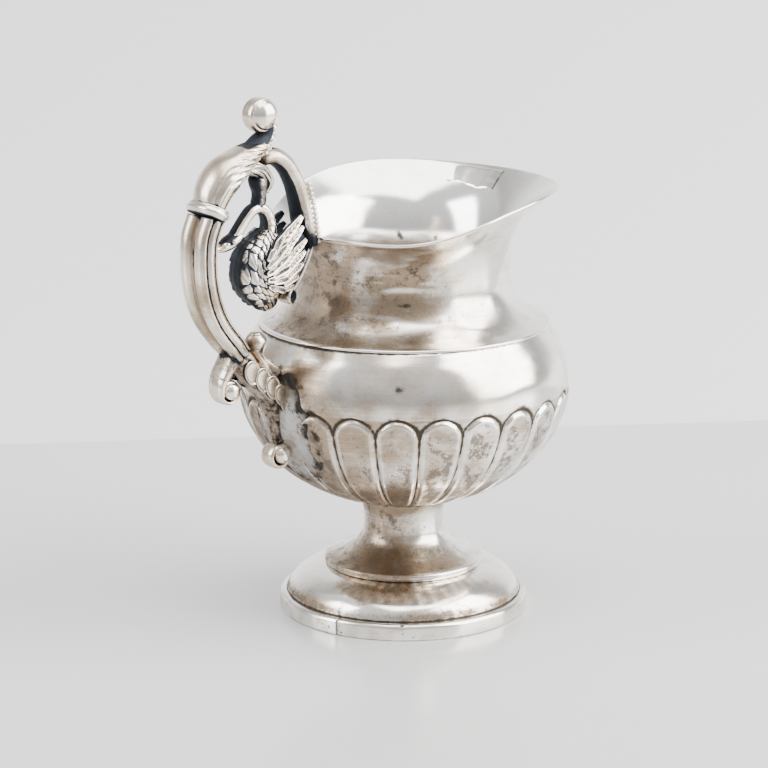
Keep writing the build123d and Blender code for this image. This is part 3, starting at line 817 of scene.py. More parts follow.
def handle_collar():
    """Rolled collar round the strap's upper end."""
    tilt = math.radians(26)
    axis = np.array([-math.sin(tilt), math.cos(tilt)])
    centre = np.array([62.5, 112.5])
    stations = [(*(centre + axis * t), 7.2, 11.4) for t in (-1.4, -0.7, 0, 0.7, 1.4)]

    def rolls(s, n, b):
        return 0.7 * hump(0.5, 0.34, s) + 0.1 * hump(0.92, 0.06, s)

    grid, s, _, b = limb(stations, 40, 72, detail=rolls, square=0.85, caps=(0.04, 0.04))
    oxide = 0.55 * hump(0.86, 0.05, s) + 0.6 * hump(1, 0.05, s) + 0.9 * hump(0, 0.12, s)
    # Painted highlight: the collar's side towards the camera and the right softbox is lighter.
    bright = 0.5 * smooth_step(0.2, 0.8, -b)
    cast_bar("collar_rolled", "handle_collar", grid, oxide=oxide, tarnish=0.18, speckle=0.1,
             bright=bright)


SHEATH = [(62.2, 113.8, 6.6, 10.4), (60.6, 117.4, 8.2, 11.6), (57.6, 120.9, 8.4, 11.8),
          (53.4, 123.8, 6.4, 10.8), (49.6, 125.9, 4.4, 9.0), (46.6, 127.0, 3.2, 7.4)]


def leaf_sheath():
    """Acanthus sheath: ribs fan out from the collar to a frilled edge on the jug's side."""
    def measures(s, n):
        """From 0 along the outer edge to 1 along the edge nearest the jug, and how frilled it is."""
        q = np.arccos(np.clip(-n, -1, 1)) / math.pi
        return q, smooth_step(0.40, 0.6, s) * smooth_step(0.66, 0.92, q)

    def shape(s, n, b):
        q, frill = measures(s, n)
        fan = q - 0.95 * s ** 1.5
        wave = np.cos(fan * math.tau * 7)
        ribs = signed_power(wave, 0.85) * 0.34 * smooth_step(0.18, 0.55, s) * smooth_step(0.2, 0.5, q)
        lobes = frill * (0.75 * np.abs(np.sin(s * math.tau * 4.6)) - 0.35)
        rim = 0.36 * hump(0.93, 0.05, q) * smooth_step(0.5, 0.38, s)
        trough = -0.3 * hump(0.84, 0.035, q) * smooth_step(0.5, 0.38, s)
        lines = -0.13 * (hump(0.27 + 0.1 * s, 0.018, q) + 0.8 * hump(0.44 + 0.14 * s, 0.016, q))
        lines = lines * smooth_step(0.62, 0.3, s)
        return ribs + lobes + rim + trough + lines

    grid, s, n, b = limb(SHEATH, 160, 220, detail=shape, caps=(0.1, 0.5))
    q, frill = measures(s, n)
    notch = np.clip(1 - 2.2 * np.abs(np.sin(s * math.tau * 4.6)), 0, 1)
    # Patina in the rib hollows, with painted shadow in the frill's notches.
    oxide = 3.4 * recess(shape(s, n, b), 5) + 0.95 * frill * notch
    oxide += 0.95 * smooth_step(0.68, 0.8, s) * smooth_step(0.34, 0.16, q) + 0.75 * smooth_step(0.97, 1.0, q)
    oxide += 0.7 * hump(0, 0.03, s) + 0.3 * hump(0.03, 0.05, s) * smooth_step(-0.2, 0.6, ripple(grid, 3, 94))
    tarnish = 0.2 + 0.15 * ripple(grid, 9, 93) + 0.2 * smooth_step(0.3, 0.1, q)
    # Painted highlight in the middle of the sheath.
    bright = 0.8 * hump(0.5, 0.3, s) * hump(0.62, 0.25, q)
    cast_bar("sheath_leaf", "leaf_sheath", grid, oxide=oxide, tarnish=tarnish, speckle=0.08,
             bright=bright)


def scroll_profile(radius, half, boss_r):
    """Profile of a scroll end, from one side to the other: a rounded tyre with a hollow for each boss."""
    one = [(0, half * 0.45), (boss_r * 0.8, half * 0.45), (boss_r + 0.1, half * 0.5),
           (boss_r + 0.3, half * 0.8), (boss_r + 0.5, half * 0.98), (radius - 0.5, half * 0.98),
           (radius - 0.16, half * 0.8), (radius, half * 0.4), (radius, 0)]
    curve = np.array(one + [(r, -y) for r, y in one[-2::-1]])
    return np.vstack([curve[:1], through(curve[1:-1], 90), curve[-1:]])


def boss_profile(radius, base, rise):
    turn = np.linspace(0, math.pi / 2, 14)
    dome = [(radius * math.cos(t) ** 0.8, base + rise * math.sin(t)) for t in turn]
    dome[-1] = (0, base + rise)
    return [(0, base - 1.0), (radius * 0.9, base - 1.0)] + dome


def scroll(name, node, centre, radius, half, boss_r):
    profile = scroll_profile(radius, half, boss_r)
    grid = wheel(centre, profile, 96)
    r = profile[:, 0:1] + 0 * grid[..., 0]
    y = np.abs(profile[:, 1:2]) + 0 * grid[..., 0]
    oxide = 1.1 * smooth_step(boss_r + 0.42, boss_r + 0.1, r)
    oxide += 0.25 * hump(radius, 0.2, r) * hump(0, half * 0.4, y)
    cast_bar(name, node, grid, oxide=oxide, tarnish=0.2 + 0.2 * ripple(grid, 6, 95), speckle=0.15)


def bosses(name, node, place, base, radius, rise):
    shapes = []
    for side in (-1, 1):
        grid = wheel(place, np.array(boss_profile(radius, base, rise)) * [1, side], 64)
        oxide = smooth_step(base + 0.45, base, np.abs(grid[..., 1]))
        shapes.append((grid, {"oxide": oxide, "tarnish": 0.15, "speckle": 0.08, "bright": 0.3}))
    cast(name, node, shapes)


def thumb_piece():
    """Knurled stalk with the rolled scroll on top, and its two side bosses."""
    stations = [(47.6, 125.6, 8.0, 7.0), (46.5, 127.2, 6.4, 6.0), (45.0, 129.0, 5.0, 5.2),
                (44.2, 130.8, 4.8, 5.0), (43.8, 132.6, 4.2, 5.0), (43.3, 134.2, 3.2, 4.6),
                (42.9, 135.4, 2.0, 3.6)]

    def knurl(s, n, b):
        lines = signed_power(np.sin(s * math.tau * 5.5 - 2.2 * n), 0.6)
        return 0.24 * lines * smooth_step(-0.1, 0.5, n)

    grid, s, n, b = limb(stations, 80, 72, detail=knurl, caps=(0.2, 0.2))
    # Painted shade on the stalk's left side and painted highlight on its right side.
    right = smooth_step(-0.15, 0.35, n)
    oxide = 0.95 * (1 - right) + 3.2 * recess(knurl(s, n, b).T, 3).T
    cast_bar("thumb_stalk", "thumb_neck", grid, oxide=oxide, tarnish=0.2, speckle=0.1, bright=0.4 * right)
    scroll("thumb_scroll", "thumb_ball", (46.3, 134.55), 4.3, 2.15, 3.0)
    bosses("thumb_scroll_bosses", "thumb_bosses", (46.1, 134.65), 0.3, 4.15, 3.9)


ARM = [(46.2, 123.6, 3.4, 5.4), (42.6, 124.0, 4.4, 6.0), (38.9, 121.6, 4.8, 6.0),
       (36.1, 117.0, 4.9, 6.2), (34.5, 111.6, 4.5, 7.0), (33.5, 106.0, 3.8, 8.0),
       (32.4, 100.8, 3.0, 8.4)]


def upper_arm():
    """Smooth arm from the thumb scroll down to the rim, with a beaded strip on the rim's side."""
    def shape(s, n, b):
        face = smooth_step(0.55, 0.95, np.abs(b))
        ridge = 0.28 * hump(-0.35, 0.12, n) * face * smooth_step(0.35, 0.55, s)
        return ridge - 0.2 * hump(0.55, 0.2, n) * face * smooth_step(0.2, 0.4, s)

    grid, s, n, b = limb(ARM, 110, 72, detail=shape, caps=(0.4, 0.1))
    # The finger-hole side is painted dark as painted shade, apart from the flat faces.
    away = np.where(n > 0, n, 0)
    oxide = smooth_step(0.45, 0.8, away) * smooth_step(1.0, 0.75, np.abs(b)) + 0.75 * hump(1, 0.12, s)
    oxide += 0.5 * hump(0, 0.06, s) + 0.6 * smooth_step(0.75, 0.95, -n) * hump(0.1, 0.15, s)
    smudge = smooth_step(-0.2, 0.7, ripple(grid, 7, 98)) * smooth_step(0.3, 0.6, s)
    oxide += 0.4 * hump(0.5, 0.03, s) * smooth_step(0.0, 0.6, -n) + 0.25 * smudge
    # Two light bands along the arm are painted highlights.
    shapes = [(grid, {"oxide": oxide, "tarnish": 0.6 + 0.2 * ripple(grid, 9, 97),
                      "speckle": 0.12 + 0.2 * smudge,
                      "bright": 0.3 * hump(0.2, 0.1, s) + 0.25 * hump(0.7, 0.12, s)})]
    centre = evenly(through(ARM, 300), 200)
    left = sideways(centre[:, :2])[1]
    for i in range(98, 196, 8):
        width, thick = centre[i, 3] / 2, centre[i, 2] / 2
        place = centre[i, :2] - left[i] * (thick * 0.8 + 0.35)
        for y in (-1, 1):
            ball = bead((-place[0], y * width * 0.9, place[1]), (0.75, 0.8, 0.62))
            # Each bead is painted light as a painted highlight, darker on the half towards the arm's middle
            # as painted shade.
            low = np.abs(ball[..., 1]) < width * 0.8
            shapes.append((ball, {"oxide": 0.9 * low + 0.3, "bright": 0.6, "tarnish": 0.1}))
    cast("arm_to_rim", "upper_arm", shapes)


def under_leaf():
    """Curled ribbed leaf under the sheath's end."""
    stations = [(52.8, 121.9, 2.2, 7.4), (50.0, 121.9, 3.4, 7.6), (46.9, 120.6, 3.6, 6.6),
                (45.0, 118.0, 3.0, 5.2), (45.2, 115.6, 1.8, 3.4)]

    def ribs(s, n, b):
        wave = np.cos((np.abs(b) + 0.25 * s) * math.tau * 3.2)
        return 0.34 * signed_power(wave, 0.7) * smooth_step(0.0, 0.2, s) * smooth_step(1, 0.8, s)

    grid, s, n, b = limb(stations, 80, 96, detail=ribs, caps=(0.3, 0.8))
    # Patina in the rib hollows; the underside is painted darker as painted shade.
    oxide = 4.5 * recess(ribs(s, n, b), 4) + 0.3 * smooth_step(0.3, 0.9, n)
    oxide += 0.5 * smooth_step(0.0, 0.8, n) * smooth_step(0.2, 0.5, s)
    cast_bar("leaf_curled", "under_leaf", grid, oxide=oxide, tarnish=0.4, speckle=0.15, bright=0.25)


def pendant_stem():
    """Short lumpy stem that hangs under the curled leaf."""
    stations = [(47.4, 118.8, 4.2, 5.4), (46.9, 116.6, 4.0, 5.0), (46.9, 114.4, 3.4, 4.2),
                (47.4, 112.2, 3.4, 4.0)]

    def waist(s, n, b):
        return 0.12 * np.sin(s * math.tau * 1.5) + 0.06 * np.sin(5 * np.arctan2(b, n) + 9 * s)

    grid, s, n, b = limb(stations, 50, 40, detail=waist)
    # Painted shade on the narrow sides, darker than the flat faces, and a painted highlight on one half of
    # the flat faces.
    near = smooth_step(0.75, 1.0, np.abs(b))
    cast_bar("stem_pendant", "pendant_stem", grid, oxide=0.85 - 0.3 * near, tarnish=0.3, speckle=0.2,
             bright=0.4 * near * (n > 0))


# ---------------------------------------------------------------- swan
def swan_neck():
    """The swan's bent neck, a bar with flat sides."""
    stations = [(55.2, 104.4, 3.0, 3.8), (53.6, 106.6, 2.6, 3.6), (51.5, 109.2, 2.5, 3.6),
                (49.3, 111.2, 2.6, 3.8), (46.8, 111.6, 2.8, 4.0), (44.9, 109.9, 2.8, 4.2),
                (44.2, 107.0, 3.0, 4.8), (44.8, 103.8, 3.8, 6.0), (46.4, 101.2, 4.8, 7.0)]

    def fluff(s, n, b):
        return 0.05 * np.sin(s * 75 + 4 * n) * smooth_step(0.45, 0.8, s) * smooth_step(0.6, 0.9, np.abs(b))

    grid, s, n, b = limb(stations, 130, 64, square=0.7, caps=(0.5, 0.5), detail=fluff)
    # The narrow sides are painted dark, both patina and painted shade; one half of the flat faces is painted
    # light as a painted highlight.
    face = smooth_step(0.6, 0.92, np.abs(b))
    lines = 0.35 * hump(0.35, 0.12, n) * face * smooth_step(0.05, 0.2, s)
    oxide = 0.95 * (1 - face) + lines + 0.25 * ripple(grid, 3, 101)
    bright = 0.5 * face * smooth_step(-0.4, 0.3, -n)
    cast_bar("swan_neck_curve", "swan_neck", grid, oxide=oxide, tarnish=0.22, speckle=0.12, bright=bright)


def swan_head():
    """Head and long beak, with eyes and nostrils as small beads."""
    stations = [(53.6, 105.6, 2.4, 4.4), (55.2, 104.6, 3.4, 4.8), (57.0, 103.7, 3.4, 4.4),
                (58.8, 103.0, 2.4, 3.4), (60.8, 102.7, 1.7, 2.6), (64.3, 102.4, 1.3, 2.2)]

    def shape(s, n, b):
        slit = -0.22 * hump(-0.1, 0.16, n) * (np.abs(b) > 0.5) * smooth_step(0.55, 0.65, s)
        socket = -0.25 * hump(0.33, 0.07, s) * hump(0.25, 0.3, n)
        return slit + socket + 0.12 * hump(0.5, 0.05, s)

    grid, s, n, b = limb(stations, 80, 48, detail=shape, caps=(0.3, 0.2))
    top = smooth_step(0.1, 0.7, grid[..., 2] - np.interp(-grid[..., 0], [53, 63], [105.6, 102.4]))
    slit = 0.9 * hump(-0.1, 0.2, n) * smooth_step(0.55, 0.65, s)
    socket = 0.8 * hump(0.33, 0.09, s) * hump(0.25, 0.45, n)
    oxide = 0.9 * top * (np.abs(b) < 0.9) + (slit + socket) * (np.abs(b) > 0.5)
    shapes = [(grid, {"oxide": oxide, "tarnish": 0.15, "speckle": 0.15})]
    for y in (-1, 1):
        shapes.append((bead((-56.1, y * 2.3, 104.5), 0.72, 10, 16), {"bright": 0.9}))
        shapes.append((bead((-57.9, y * 2.05, 104.0), (0.55, 0.4, 0.42), 8, 12), {"bright": 0.8}))
    cast("swan_head_beak", "swan_head", shapes)


def scales(u, v, long, wide):
    """Overlapping pointed feathers that lie along u. Returns their height and the darkening just below each
    edge, painted shade where one feather overlaps the next.
    """
    row = np.floor(u / long)

    def one(back):
        r = row - back
        a = u / long - r
        across = v / wide - 0.5 * (r % 2)
        c = 2 * np.abs(across - np.round(across))
        tilt = 2 * (across - np.round(across))
        edge = np.sqrt(np.clip(1 - np.clip((a - 0.3) / 1.55, 0, 1) ** 1.5, 0, 1))
        height = 0.16 * a + 0.2 * (1 - c ** 2) - 0.07 * np.exp(-(tilt / 0.13) ** 2)
        return c, edge, height

    c_top, edge_top, height_top = one(1)
    height_low = one(0)[2]
    on_top = c_top < edge_top
    height = np.where(on_top, height_top, height_low)
    dark = np.where(on_top, 0.0, np.exp(-((c_top - edge_top) / 0.4) ** 2))
    return height, dark


def swan_body():
    """Body covered with overlapping pointed feathers."""
    stations = [(44.6, 105.2, 4.6, 5.0), (45.8, 102.6, 8.6, 6.8), (47.2, 99.4, 13.0, 8.4),
                (47.6, 96.0, 14.6, 8.8), (46.9, 92.8, 13.6, 8.4), (46.0, 89.8, 9.8, 6.8),
                (45.2, 88.0, 5.4, 4.6)]

    def coat(n, s):
        reach = 47 + n * 7
        height = 105 - 18.5 * s
        u = 0.60 * (60 - reach) + 0.80 * (110 - height) + 0.35 * np.sin(height * 1.3)
        v = 0.80 * reach - 0.60 * height + 0.4 * np.sin(reach * 0.9)
        return scales(u, v, 1.7, 1.9)

    def relief(s, n, b):
        return 2.1 * coat(n, s)[0] * smooth_step(0.12, 0.5, np.abs(b))

    grid, s, n, b = limb(stations, 220, 240, detail=relief, caps=(0.3, 0.9))
    dark = coat(n, s)[1]
    face = smooth_step(0.35, 0.72, np.abs(b))
    breast = smooth_step(0.35, 0.8, n)
    pits = smooth_step(0.15, 0.8, ripple(grid, 2.4, 103))
    # Painted shade under each feather's edge and on the body's narrow sides, with patina in the pits.
    oxide = dark * (0.75 + 0.3 * face) + 0.75 * (1 - face) * (0.5 + 0.5 * breast) + 0.45 * pits
    oxide += 0.3 * smooth_step(0.7, 0.95, s)
    # The light patch on the flat faces is a painted highlight.
    cast_bar("swan_body_feathered", "swan_body", grid, oxide=oxide,
             tarnish=0.15 + 0.3 * smooth_step(0.6, 0.95, s),
             speckle=0.15 + 0.35 * smooth_step(0.6, 0.9, s),
             bright=0.8 * face * hump(0.35, 0.3, s) * (1 - pits))


# A feather is the reach and height of its root, its middle and its tip, and then its width.
LONG_FEATHERS = [
    (45.4, 98.0, 42.6, 104.0, 36.7, 108.7, 3.6), (44.6, 96.8, 41.0, 102.2, 36.2, 106.1, 2.7),
    (44.0, 95.6, 40.0, 99.8, 35.7, 102.9, 2.5), (43.6, 94.4, 39.6, 97.6, 35.9, 99.9, 2.4),
    (43.2, 93.2, 39.6, 95.4, 36.5, 96.9, 2.3), (43.0, 92.2, 40.2, 93.4, 37.7, 93.9, 2.1),
    (43.2, 91.2, 41.2, 91.4, 39.1, 91.3, 1.9)]
SHORT_FEATHERS = [
    (47.4, 99.8, 45.8, 102.8, 43.6, 105.2, 2.6), (47.2, 98.2, 44.8, 100.8, 42.2, 102.6, 2.5),
    (47.0, 96.6, 44.4, 98.4, 41.6, 99.8, 2.4), (46.8, 95.0, 44.2, 96.0, 41.4, 96.8, 2.3),
    (46.6, 93.6, 44.2, 93.8, 41.8, 93.8, 2.1), (46.4, 92.2, 44.6, 91.6, 42.8, 90.9, 1.9)]
SMALL_FEATHERS = [
    (48.8, 99.4, 47.6, 101.0, 46.4, 102.0, 1.9), (48.8, 97.6, 47.4, 98.8, 45.8, 99.6, 1.9),
    (48.8, 96.0, 47.2, 96.6, 45.6, 97.0, 1.9), (48.6, 94.4, 47.0, 94.4, 45.4, 94.2, 1.8),
    (48.2, 92.8, 46.8, 92.2, 45.6, 91.5, 1.7)]


def feather(shape, slim, y, thick, lean, barbs=0.0):
    """Flat feather: a raised border painted light as a painted highlight round a darker vane, barbed on the
    long flight feathers; the face towards the body is painted dark as painted shade.
    slim is the share of the width in shape that it keeps."""
    root, middle, tip, wide = shape[:2], shape[2:4], shape[4:6], shape[6] * slim
    last = ((middle[0] + tip[0]) / 2, (middle[1] + tip[1]) / 2)
    stations = [(*root, wide * 0.6, thick), (*middle, wide, thick), (*last, wide * 0.92, thick),
                (*tip, wide * 0.42, thick * 0.7)]

    def lines(s, n):
        return np.sin((s * 9 - 1.4 * np.abs(n)) * math.tau)

    def vane(s, n, b):
        border = 0.3 * hump(0.7, 0.14, np.abs(n)) + 0.12 * hump(0, 0.1, n) * (barbs > 0)
        return (border - 0.12 * hump(0, 0.45, n) + barbs * lines(s, n)) * (np.abs(b) > 0.5)

    grid, s, n, b = limb(stations, 56, 44, y=y, detail=vane, caps=(0.3, 0.5), lean=lean)
    edge = smooth_step(0.72, 0.5, np.abs(b))
    vane_part = smooth_step(0.6, 0.42, np.abs(n)) * smooth_step(0.02, 0.15, s) * smooth_step(1.0, 0.86, s)
    depth = 0.38 + 0.3 * lines(s, n) if barbs else 0.62 + 0.12 * lines(s, n)
    # Painted shade: the face towards the body is dark.
    inner = smooth_step(0.2, 0.5, -b * np.sign(y))
    return grid, {"oxide": np.maximum(edge + depth * vane_part, 0.9 * inner), "tarnish": 0.24,
                  "speckle": 0.06, "bright": 0.5 * hump(0.7, 0.2, np.abs(n)) * (1 - inner)}


def swan_wing(side, name, node):
    """Wing: long flight feathers behind, then two rows of shorter ones over their roots."""
    shapes = []
    for i, shape in enumerate(LONG_FEATHERS):
        lean = -side * (1.6 if i < 2 else 0.9)
        shapes.append(feather(shape, 0.88, side * (5.35 - 0.14 * i), 1.1, lean, barbs=0.05))
    for i, shape in enumerate(SHORT_FEATHERS):
        shapes.append(feather(shape, 0.9, side * (5.75 - 0.08 * i), 1.0, -side * 0.3))
    for i, shape in enumerate(SMALL_FEATHERS):
        shapes.append(feather(shape, 1, side * (5.85 - 0.08 * i), 0.9, -side * 0.1))
    # A dark sheet behind the feathers: painted shade in the gaps between them.
    shade_backing = [(46.6, 97.5, 6.0, 1.5), (44.0, 98.5, 9.0, 1.6), (41.4, 100.0, 9.6, 1.5),
           (38.8, 101.6, 8.4, 1.2), (37.4, 103.0, 5.0, 1.0)]
    shapes.append((limb(shade_backing, 50, 40, y=side * 4.5, lean=-side * 0.7)[0], {"oxide": 0.9}))
    cast(name, node, shapes)


def swan_tail():
    """Tail: a strip that runs up to the jug's neck, with a short tube on each side of its root."""
    stations = [(31.7, 100.4, 1.2, 4.2), (32.4, 98.6, 1.6, 4.7), (33.9, 95.8, 1.8, 4.9),
                (35.8, 92.8, 1.9, 4.8), (37.8, 90.0, 2.0, 4.4), (39.2, 88.4, 2.2, 4.0)]

    def ridge(s, n, b):
        return 0.12 * hump(0, 0.25, n)

    grid, _, _, b = limb(stations, 70, 40, square=0.8, detail=ridge)
    # The narrow sides are painted dark as painted shade; the flat faces are lighter.
    face = smooth_step(0.5, 0.85, np.abs(b))
    shapes = [(grid, {"oxide": 0.95 * (1 - face), "tarnish": 0.15, "bright": 0.4 * face})]
    # the tail's root ends on each side in a short open tube that faces the jug
    profile = [(0, 0.0), (1.6, 0.0), (1.8, 1.2), (1.9, 2.6), (1.85, 3.3), (1.62, 3.45), (1.42, 3.2),
               (1.35, 1.9), (0, 1.8)]
    # The inside of each tube is painted dark: painted shade in its opening.
    inner = np.array([0, 0, 0, 0, 0, 0.3, 1, 1, 1])[:, None]
    turn = angles(40)[:, None]
    for side in (-1, 1):
        start = np.array([-40.9, side * 1.2, 88.9])
        axis = np.array([0.35, side * 0.937, 0.0])
        ring = np.cos(turn) * [-axis[1], axis[0], 0.0] + np.sin(turn) * [0, 0, 1]
        tube = np.array([start + axis * along + r * ring for r, along in profile])
        shapes.append((tube, {"oxide": inner, "tarnish": 0.35, "speckle": 0.2, "bright": 0.4 * (1 - inner)}))
    cast("swan_tail_strip", "swan_tail", shapes)


# ---------------------------------------------------------------- lower end of the handle
def lower_volute():
    """Strip at the strap's lower end, rolled up into a scroll with bosses."""
    stations = [(56.2, 75.2, 3.4, 7.6), (57.6, 73.4, 3.3, 6.8), (59.2, 71.2, 2.8, 5.9),
                (60.3, 68.8, 2.0, 5.3), (60.5, 66.2, 1.5, 5.0)]

    def edges(s, n, b):
        return 0.3 * smooth_step(0.8, 1, np.abs(b)) * smooth_step(0.2, 0.5, s)

    grid, s, _, _ = limb(stations, 60, 64, square=0.6, caps=(0.2, 0.3), detail=edges)
    grey = smooth_step(0.62, 0.35, s)
    patchy = smooth_step(-0.2, 0.7, ripple(grid, 3, 105))
    cast_bar("volute_strip", "volute_arm", grid,
             oxide=0.3 * grey * (0.4 + patchy) + 0.9 * hump(0.0, 0.1, s) + 0.5 * hump(0.6, 0.05, s),
             tarnish=0.25 + 0.3 * grey, speckle=0.2 + 0.5 * grey)
    scroll("volute_roll", "lower_volute", (58.0, 66.8), 3.25, 2.6, 1.9)
    bosses("volute_roll_bosses", "volute_bosses", (57.45, 67.15), 1.5, 2.35, 2.4)


def petal(centre, top, wide, side, y):
    """Oval petal on the side of the bracket: a thin raised rim round a nearly flat face."""
    centre, top = np.array(centre, float), np.array(top, float)
    long = top - centre
    across = unit(np.array([long[1], -long[0]])) * wide / 2
    out = np.array([0.0, 0.2, 0.4, 0.6, 0.72, 0.79, 0.84, 0.89, 0.94, 0.98, 1.0, 1.0])[:, None]
    rise = np.array([0.3, 0.29, 0.26, 0.2, 0.12, 0.12, 0.2, 0.26, 0.22, 0.08, -0.2, -0.9])[:, None]
    turn = angles(48)[None, :]
    egg = 1 + 0.10 * np.sin(turn)
    reach = centre[0] + across[0] * out * np.cos(turn) * egg + long[0] * out * np.sin(turn)
    height = centre[1] + across[1] * out * np.cos(turn) * egg + long[1] * out * np.sin(turn)
    depth = side * (y + rise + 0.2 * out * np.cos(turn) * np.sign(across[0]))
    grid = np.stack([-reach, depth + 0 * turn, height], -1)
    oxide = np.array([0.05, 0.05, 0.05, 0.1, 0.25, 0.2, 0, 0, 0, 0.4, 0.95, 0.95])[:, None]
    return grid, {"oxide": oxide, "tarnish": 0.62, "speckle": 0.12}


def bracket_leaf():
    """Bracket from the strap down the bowl, with five petals on each side."""
    stations = [(55.0, 74.0, 3.6, 7.2), (50.9, 71.0, 5.4, 8.2), (46.9, 67.2, 5.8, 8.2),
                (44.2, 62.4, 4.4, 6.6), (42.6, 57.2, 3.0, 4.2), (41.6, 51.6, 2.4, 3.4)]

    def shape(s, n, b):
        return 0.12 * np.sin(s * 70 + 3 * b) * np.sin(5 * n + s * 33) + 0.05 * np.sin(s * 160 + 7 * n)

    grid, s, n, b = limb(stations, 130, 72, detail=shape, square=0.6)
    low = smooth_step(0.35, 0.6, s)
    pits = np.clip(ripple(grid, 2.2, 111), 0, 1)
    shapes = [(grid, {"oxide": 0.34 + 0.14 * low + 0.14 * pits, "tarnish": 1.0, "speckle": 0.45})]
    ovals = [((52.5, 71.3), (53.3, 74.5), 5.0, 4.1), ((49.2, 69.0), (50.0, 72.3), 4.9, 4.2),
             ((46.3, 66.7), (47.2, 69.8), 4.7, 4.3), ((43.9, 64.4), (44.7, 67.2), 4.2, 4.4),
             ((42.4, 61.8), (43.0, 64.0), 3.2, 4.2)]
    for side in (-1, 1):
        for centre, top, wide, y in ovals:
            shapes.append(petal(centre, top, wide, side, y))
    cast("bracket_petals", "bracket_leaf", shapes)


def scroll_bud():
    """Teardrop bud on a thin stalk above the bracket."""
    radius = 2.75
    ball = [(48.3, 77.9 + radius * math.sin(t), 2 * radius * math.cos(t), 2 * radius * math.cos(t))
            for t in np.radians([-52, -38, -24, -10, 4, 18, 32, 44, 54])]
    stations = [(43.0, 68.6, 5.6, 3.2), (45.4, 71.4, 4.0, 3.2), (47.1, 73.7, 2.6, 2.8)] + ball
    grid, s, _, _ = limb(stations, 120, 56, caps=(0.3, 0.36))
    # Painted shade on the ball's outer side, carried by the tarnish and dark layers, and a painted highlight
    # on the rest of the ball's top.
    shade = smooth_step(0.2, 1.6, -grid[..., 0] - 48.6) * smooth_step(0.5, 0.7, s)
    cast_bar("bud_teardrop", "scroll_bud", grid, tarnish=0.3 + 0.3 * shade,
             oxide=0.4 * smooth_step(0.45, 0.15, s) + 0.35 * shade,
             speckle=0.12 + 0.3 * smooth_step(0.5, 0.2, s),
             bright=0.5 * smooth_step(0.5, 0.8, s) * (1 - shade))


def terminal_scroll():
    """Scroll at the bracket's foot, with its bosses."""
    scroll("terminal_roll", "terminal_scroll", (42.3, 47.8), 3.35, 2.4, 2.0)
    bosses("terminal_roll_bosses", "terminal_bosses", (41.7, 48.1), 1.1, 2.45, 2.5)


for build in (foot_band, foot_dome, stem, bowl, shoulder_ring, neck, lip_patch, solder_plate,
              handle_strap, handle_collar, leaf_sheath, thumb_piece, upper_arm, under_leaf,
              pendant_stem, swan_neck, swan_head, swan_body, swan_tail, lower_volute, bracket_leaf,
              scroll_bud, terminal_scroll):
    build()
swan_wing(-1, "swan_wing_near_feathers", "swan_wing_near")
swan_wing(1, "swan_wing_far_feathers", "swan_wing_far")


# ---------------------------------------------------------------- stage, camera and light
VIEW_TURN = 40                     # degrees from the jug's side view towards its handle
VIEW_PITCH = 13.8748               # degrees down
CAMERA_AWAY = 21.5 * FOOT_R        # from the jug's axis, along the floor
CAMERA_HEIGHT = 7.124 * FOOT_R
CAMERA_SIDE = -0.1564 * FOOT_R
LENS_MM = 130.4
SENSOR_MM = 36.0


def view_point(right, away, up):
    """Row-frame point in metres from the view's own directions: right, away from the camera, and up."""
    c, s = math.cos(math.radians(VIEW_TURN)), math.sin(math.radians(VIEW_TURN))
    return Vector((c * right + s * away, -s * right + c * away, up)) * MM


def make_camera():
    data = bpy.data.cameras.new("camera")
    data.lens, data.sensor_width = LENS_MM, SENSOR_MM
    data.clip_start, data.clip_end = 0.01, 20
    camera = bpy.data.objects.new("camera", data)
    bpy.context.scene.collection.objects.link(camera)
    camera.location = view_point(CAMERA_SIDE, -CAMERA_AWAY, CAMERA_HEIGHT)
    camera.rotation_euler = (math.radians(90 - VIEW_PITCH), 0, math.radians(-VIEW_TURN))
    bpy.context.scene.camera = camera


def plain(name, colour, rough):
    """Material of one colour."""
    made, _, shader = material_kit(name)
    shader.inputs["Base Color"].default_value = colour
    shader.inputs["Roughness"].default_value = rough
    return made


def stage_piece(name, points, faces, material):
    mesh = bpy.data.meshes.new(name)
    mesh.from_pydata([view_point(*p) for p in points], [], faces)
    mesh.materials.append(material)
    piece = bpy.data.objects.new(name, mesh)
    bpy.context.scene.collection.objects.link(piece)
    return mesh


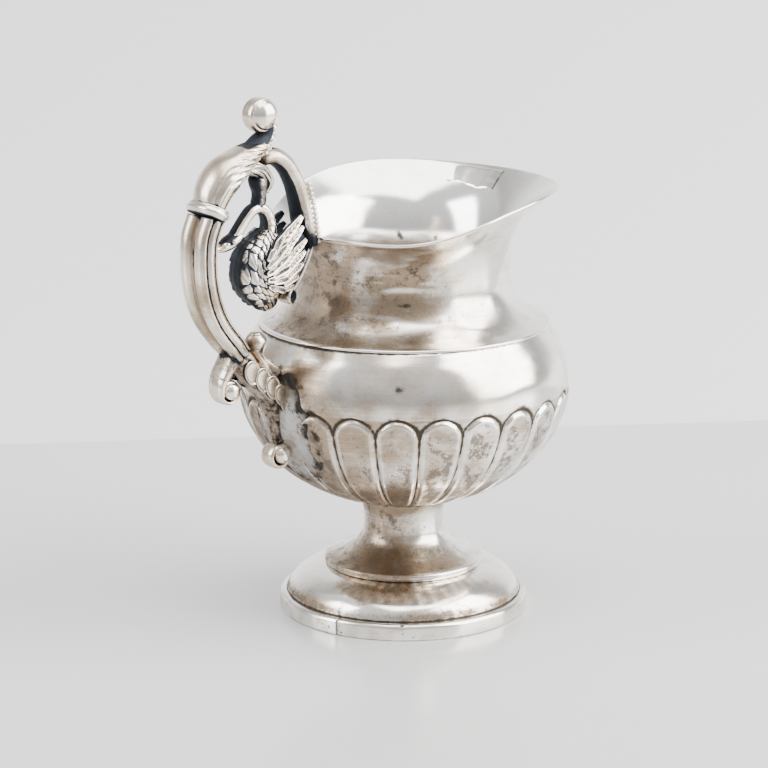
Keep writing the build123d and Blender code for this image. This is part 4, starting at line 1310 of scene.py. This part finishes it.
def make_stage():
    """Pale glossy table with a paler backdrop that begins a little behind the jug."""
    table, tree, shader = material_kit("pale_table")
    tone = blended(tree, waves(tree, 3.0, 3, 0.5), (0.52, 0.522, 0.524, 1), (0.555, 0.556, 0.556, 1))
    tree.links.new(tone, shader.inputs["Base Color"])
    shader.inputs["Roughness"].default_value = 0.2
    shader.inputs["Specular IOR Level"].default_value = 0.5
    floor = -0.02
    left, right = (-1500, -9, floor), (1500, 360, floor)              # the table's far corners
    stage_piece("table", [(-1500, -1300, floor), (1500, -1300, floor), right, left],
                [(0, 1, 2, 3)], table)
    stage_piece("table_edge", [left, right, (1500, 363, -1.2), (-1500, -6, -1.2)],
                [(0, 1, 2, 3)], plain("pale_table_edge", (0.76, 0.762, 0.764, 1), 0.5))
    # the backdrop curves up from the floor as a quarter circle
    bend = [(165 + 900 * math.sin(t), -40 + 900 * (1 - math.cos(t)))
            for t in np.linspace(0.1, math.pi / 2, 24)]
    rows = [(60, -40)] + bend + [(1065, 2600)]
    points = [(x, away, up) for away, up in rows for x in (-1800, 1800)]
    faces = [(2 * i, 2 * i + 1, 2 * i + 3, 2 * i + 2) for i in range(len(rows) - 1)]
    backdrop = stage_piece("backdrop", points, faces, plain("pale_backdrop", (0.69, 0.692, 0.694, 1), 0.9))
    backdrop.shade_smooth()


def softbox(name, place, aim, size, power, colour=(1, 1, 1)):
    data = bpy.data.lights.new(name, "AREA")
    data.shape, data.size, data.size_y = "RECTANGLE", size[0] * MM, size[1] * MM
    data.energy, data.color = power, colour
    lamp = bpy.data.objects.new(name, data)
    lamp.location = view_point(*place)
    lamp.rotation_euler = (view_point(*aim) - lamp.location).to_track_quat("-Z", "Y").to_euler()
    bpy.context.scene.collection.objects.link(lamp)


def make_light():
    world = bpy.data.worlds.new("studio")
    world.use_nodes = True
    bpy.context.scene.world = world
    tree = world.node_tree
    background = tree.nodes["Background"]
    background.inputs["Color"].default_value = (0.93, 0.935, 0.95, 1)
    sky = add(tree, "ShaderNodeTexCoord").outputs["Generated"]
    up = add(tree, "ShaderNodeSeparateXYZ", Vector=sky).outputs["Z"]
    tree.links.new(ramped(tree, up, -0.1, 0.85, 0.62, 1.15), background.inputs["Strength"])
    softbox("softbox_right", (900, -200, 600), (0, 0, 60), (1050, 1150), 38, (1.0, 0.99, 0.97))
    softbox("softbox_left", (-950, -250, 560), (0, 0, 60), (500, 900), 12, (0.98, 0.99, 1.0))
    softbox("softbox_top", (50, -100, 1100), (0, 0, 40), (900, 900), 14)


make_camera()
make_stage()
make_light()
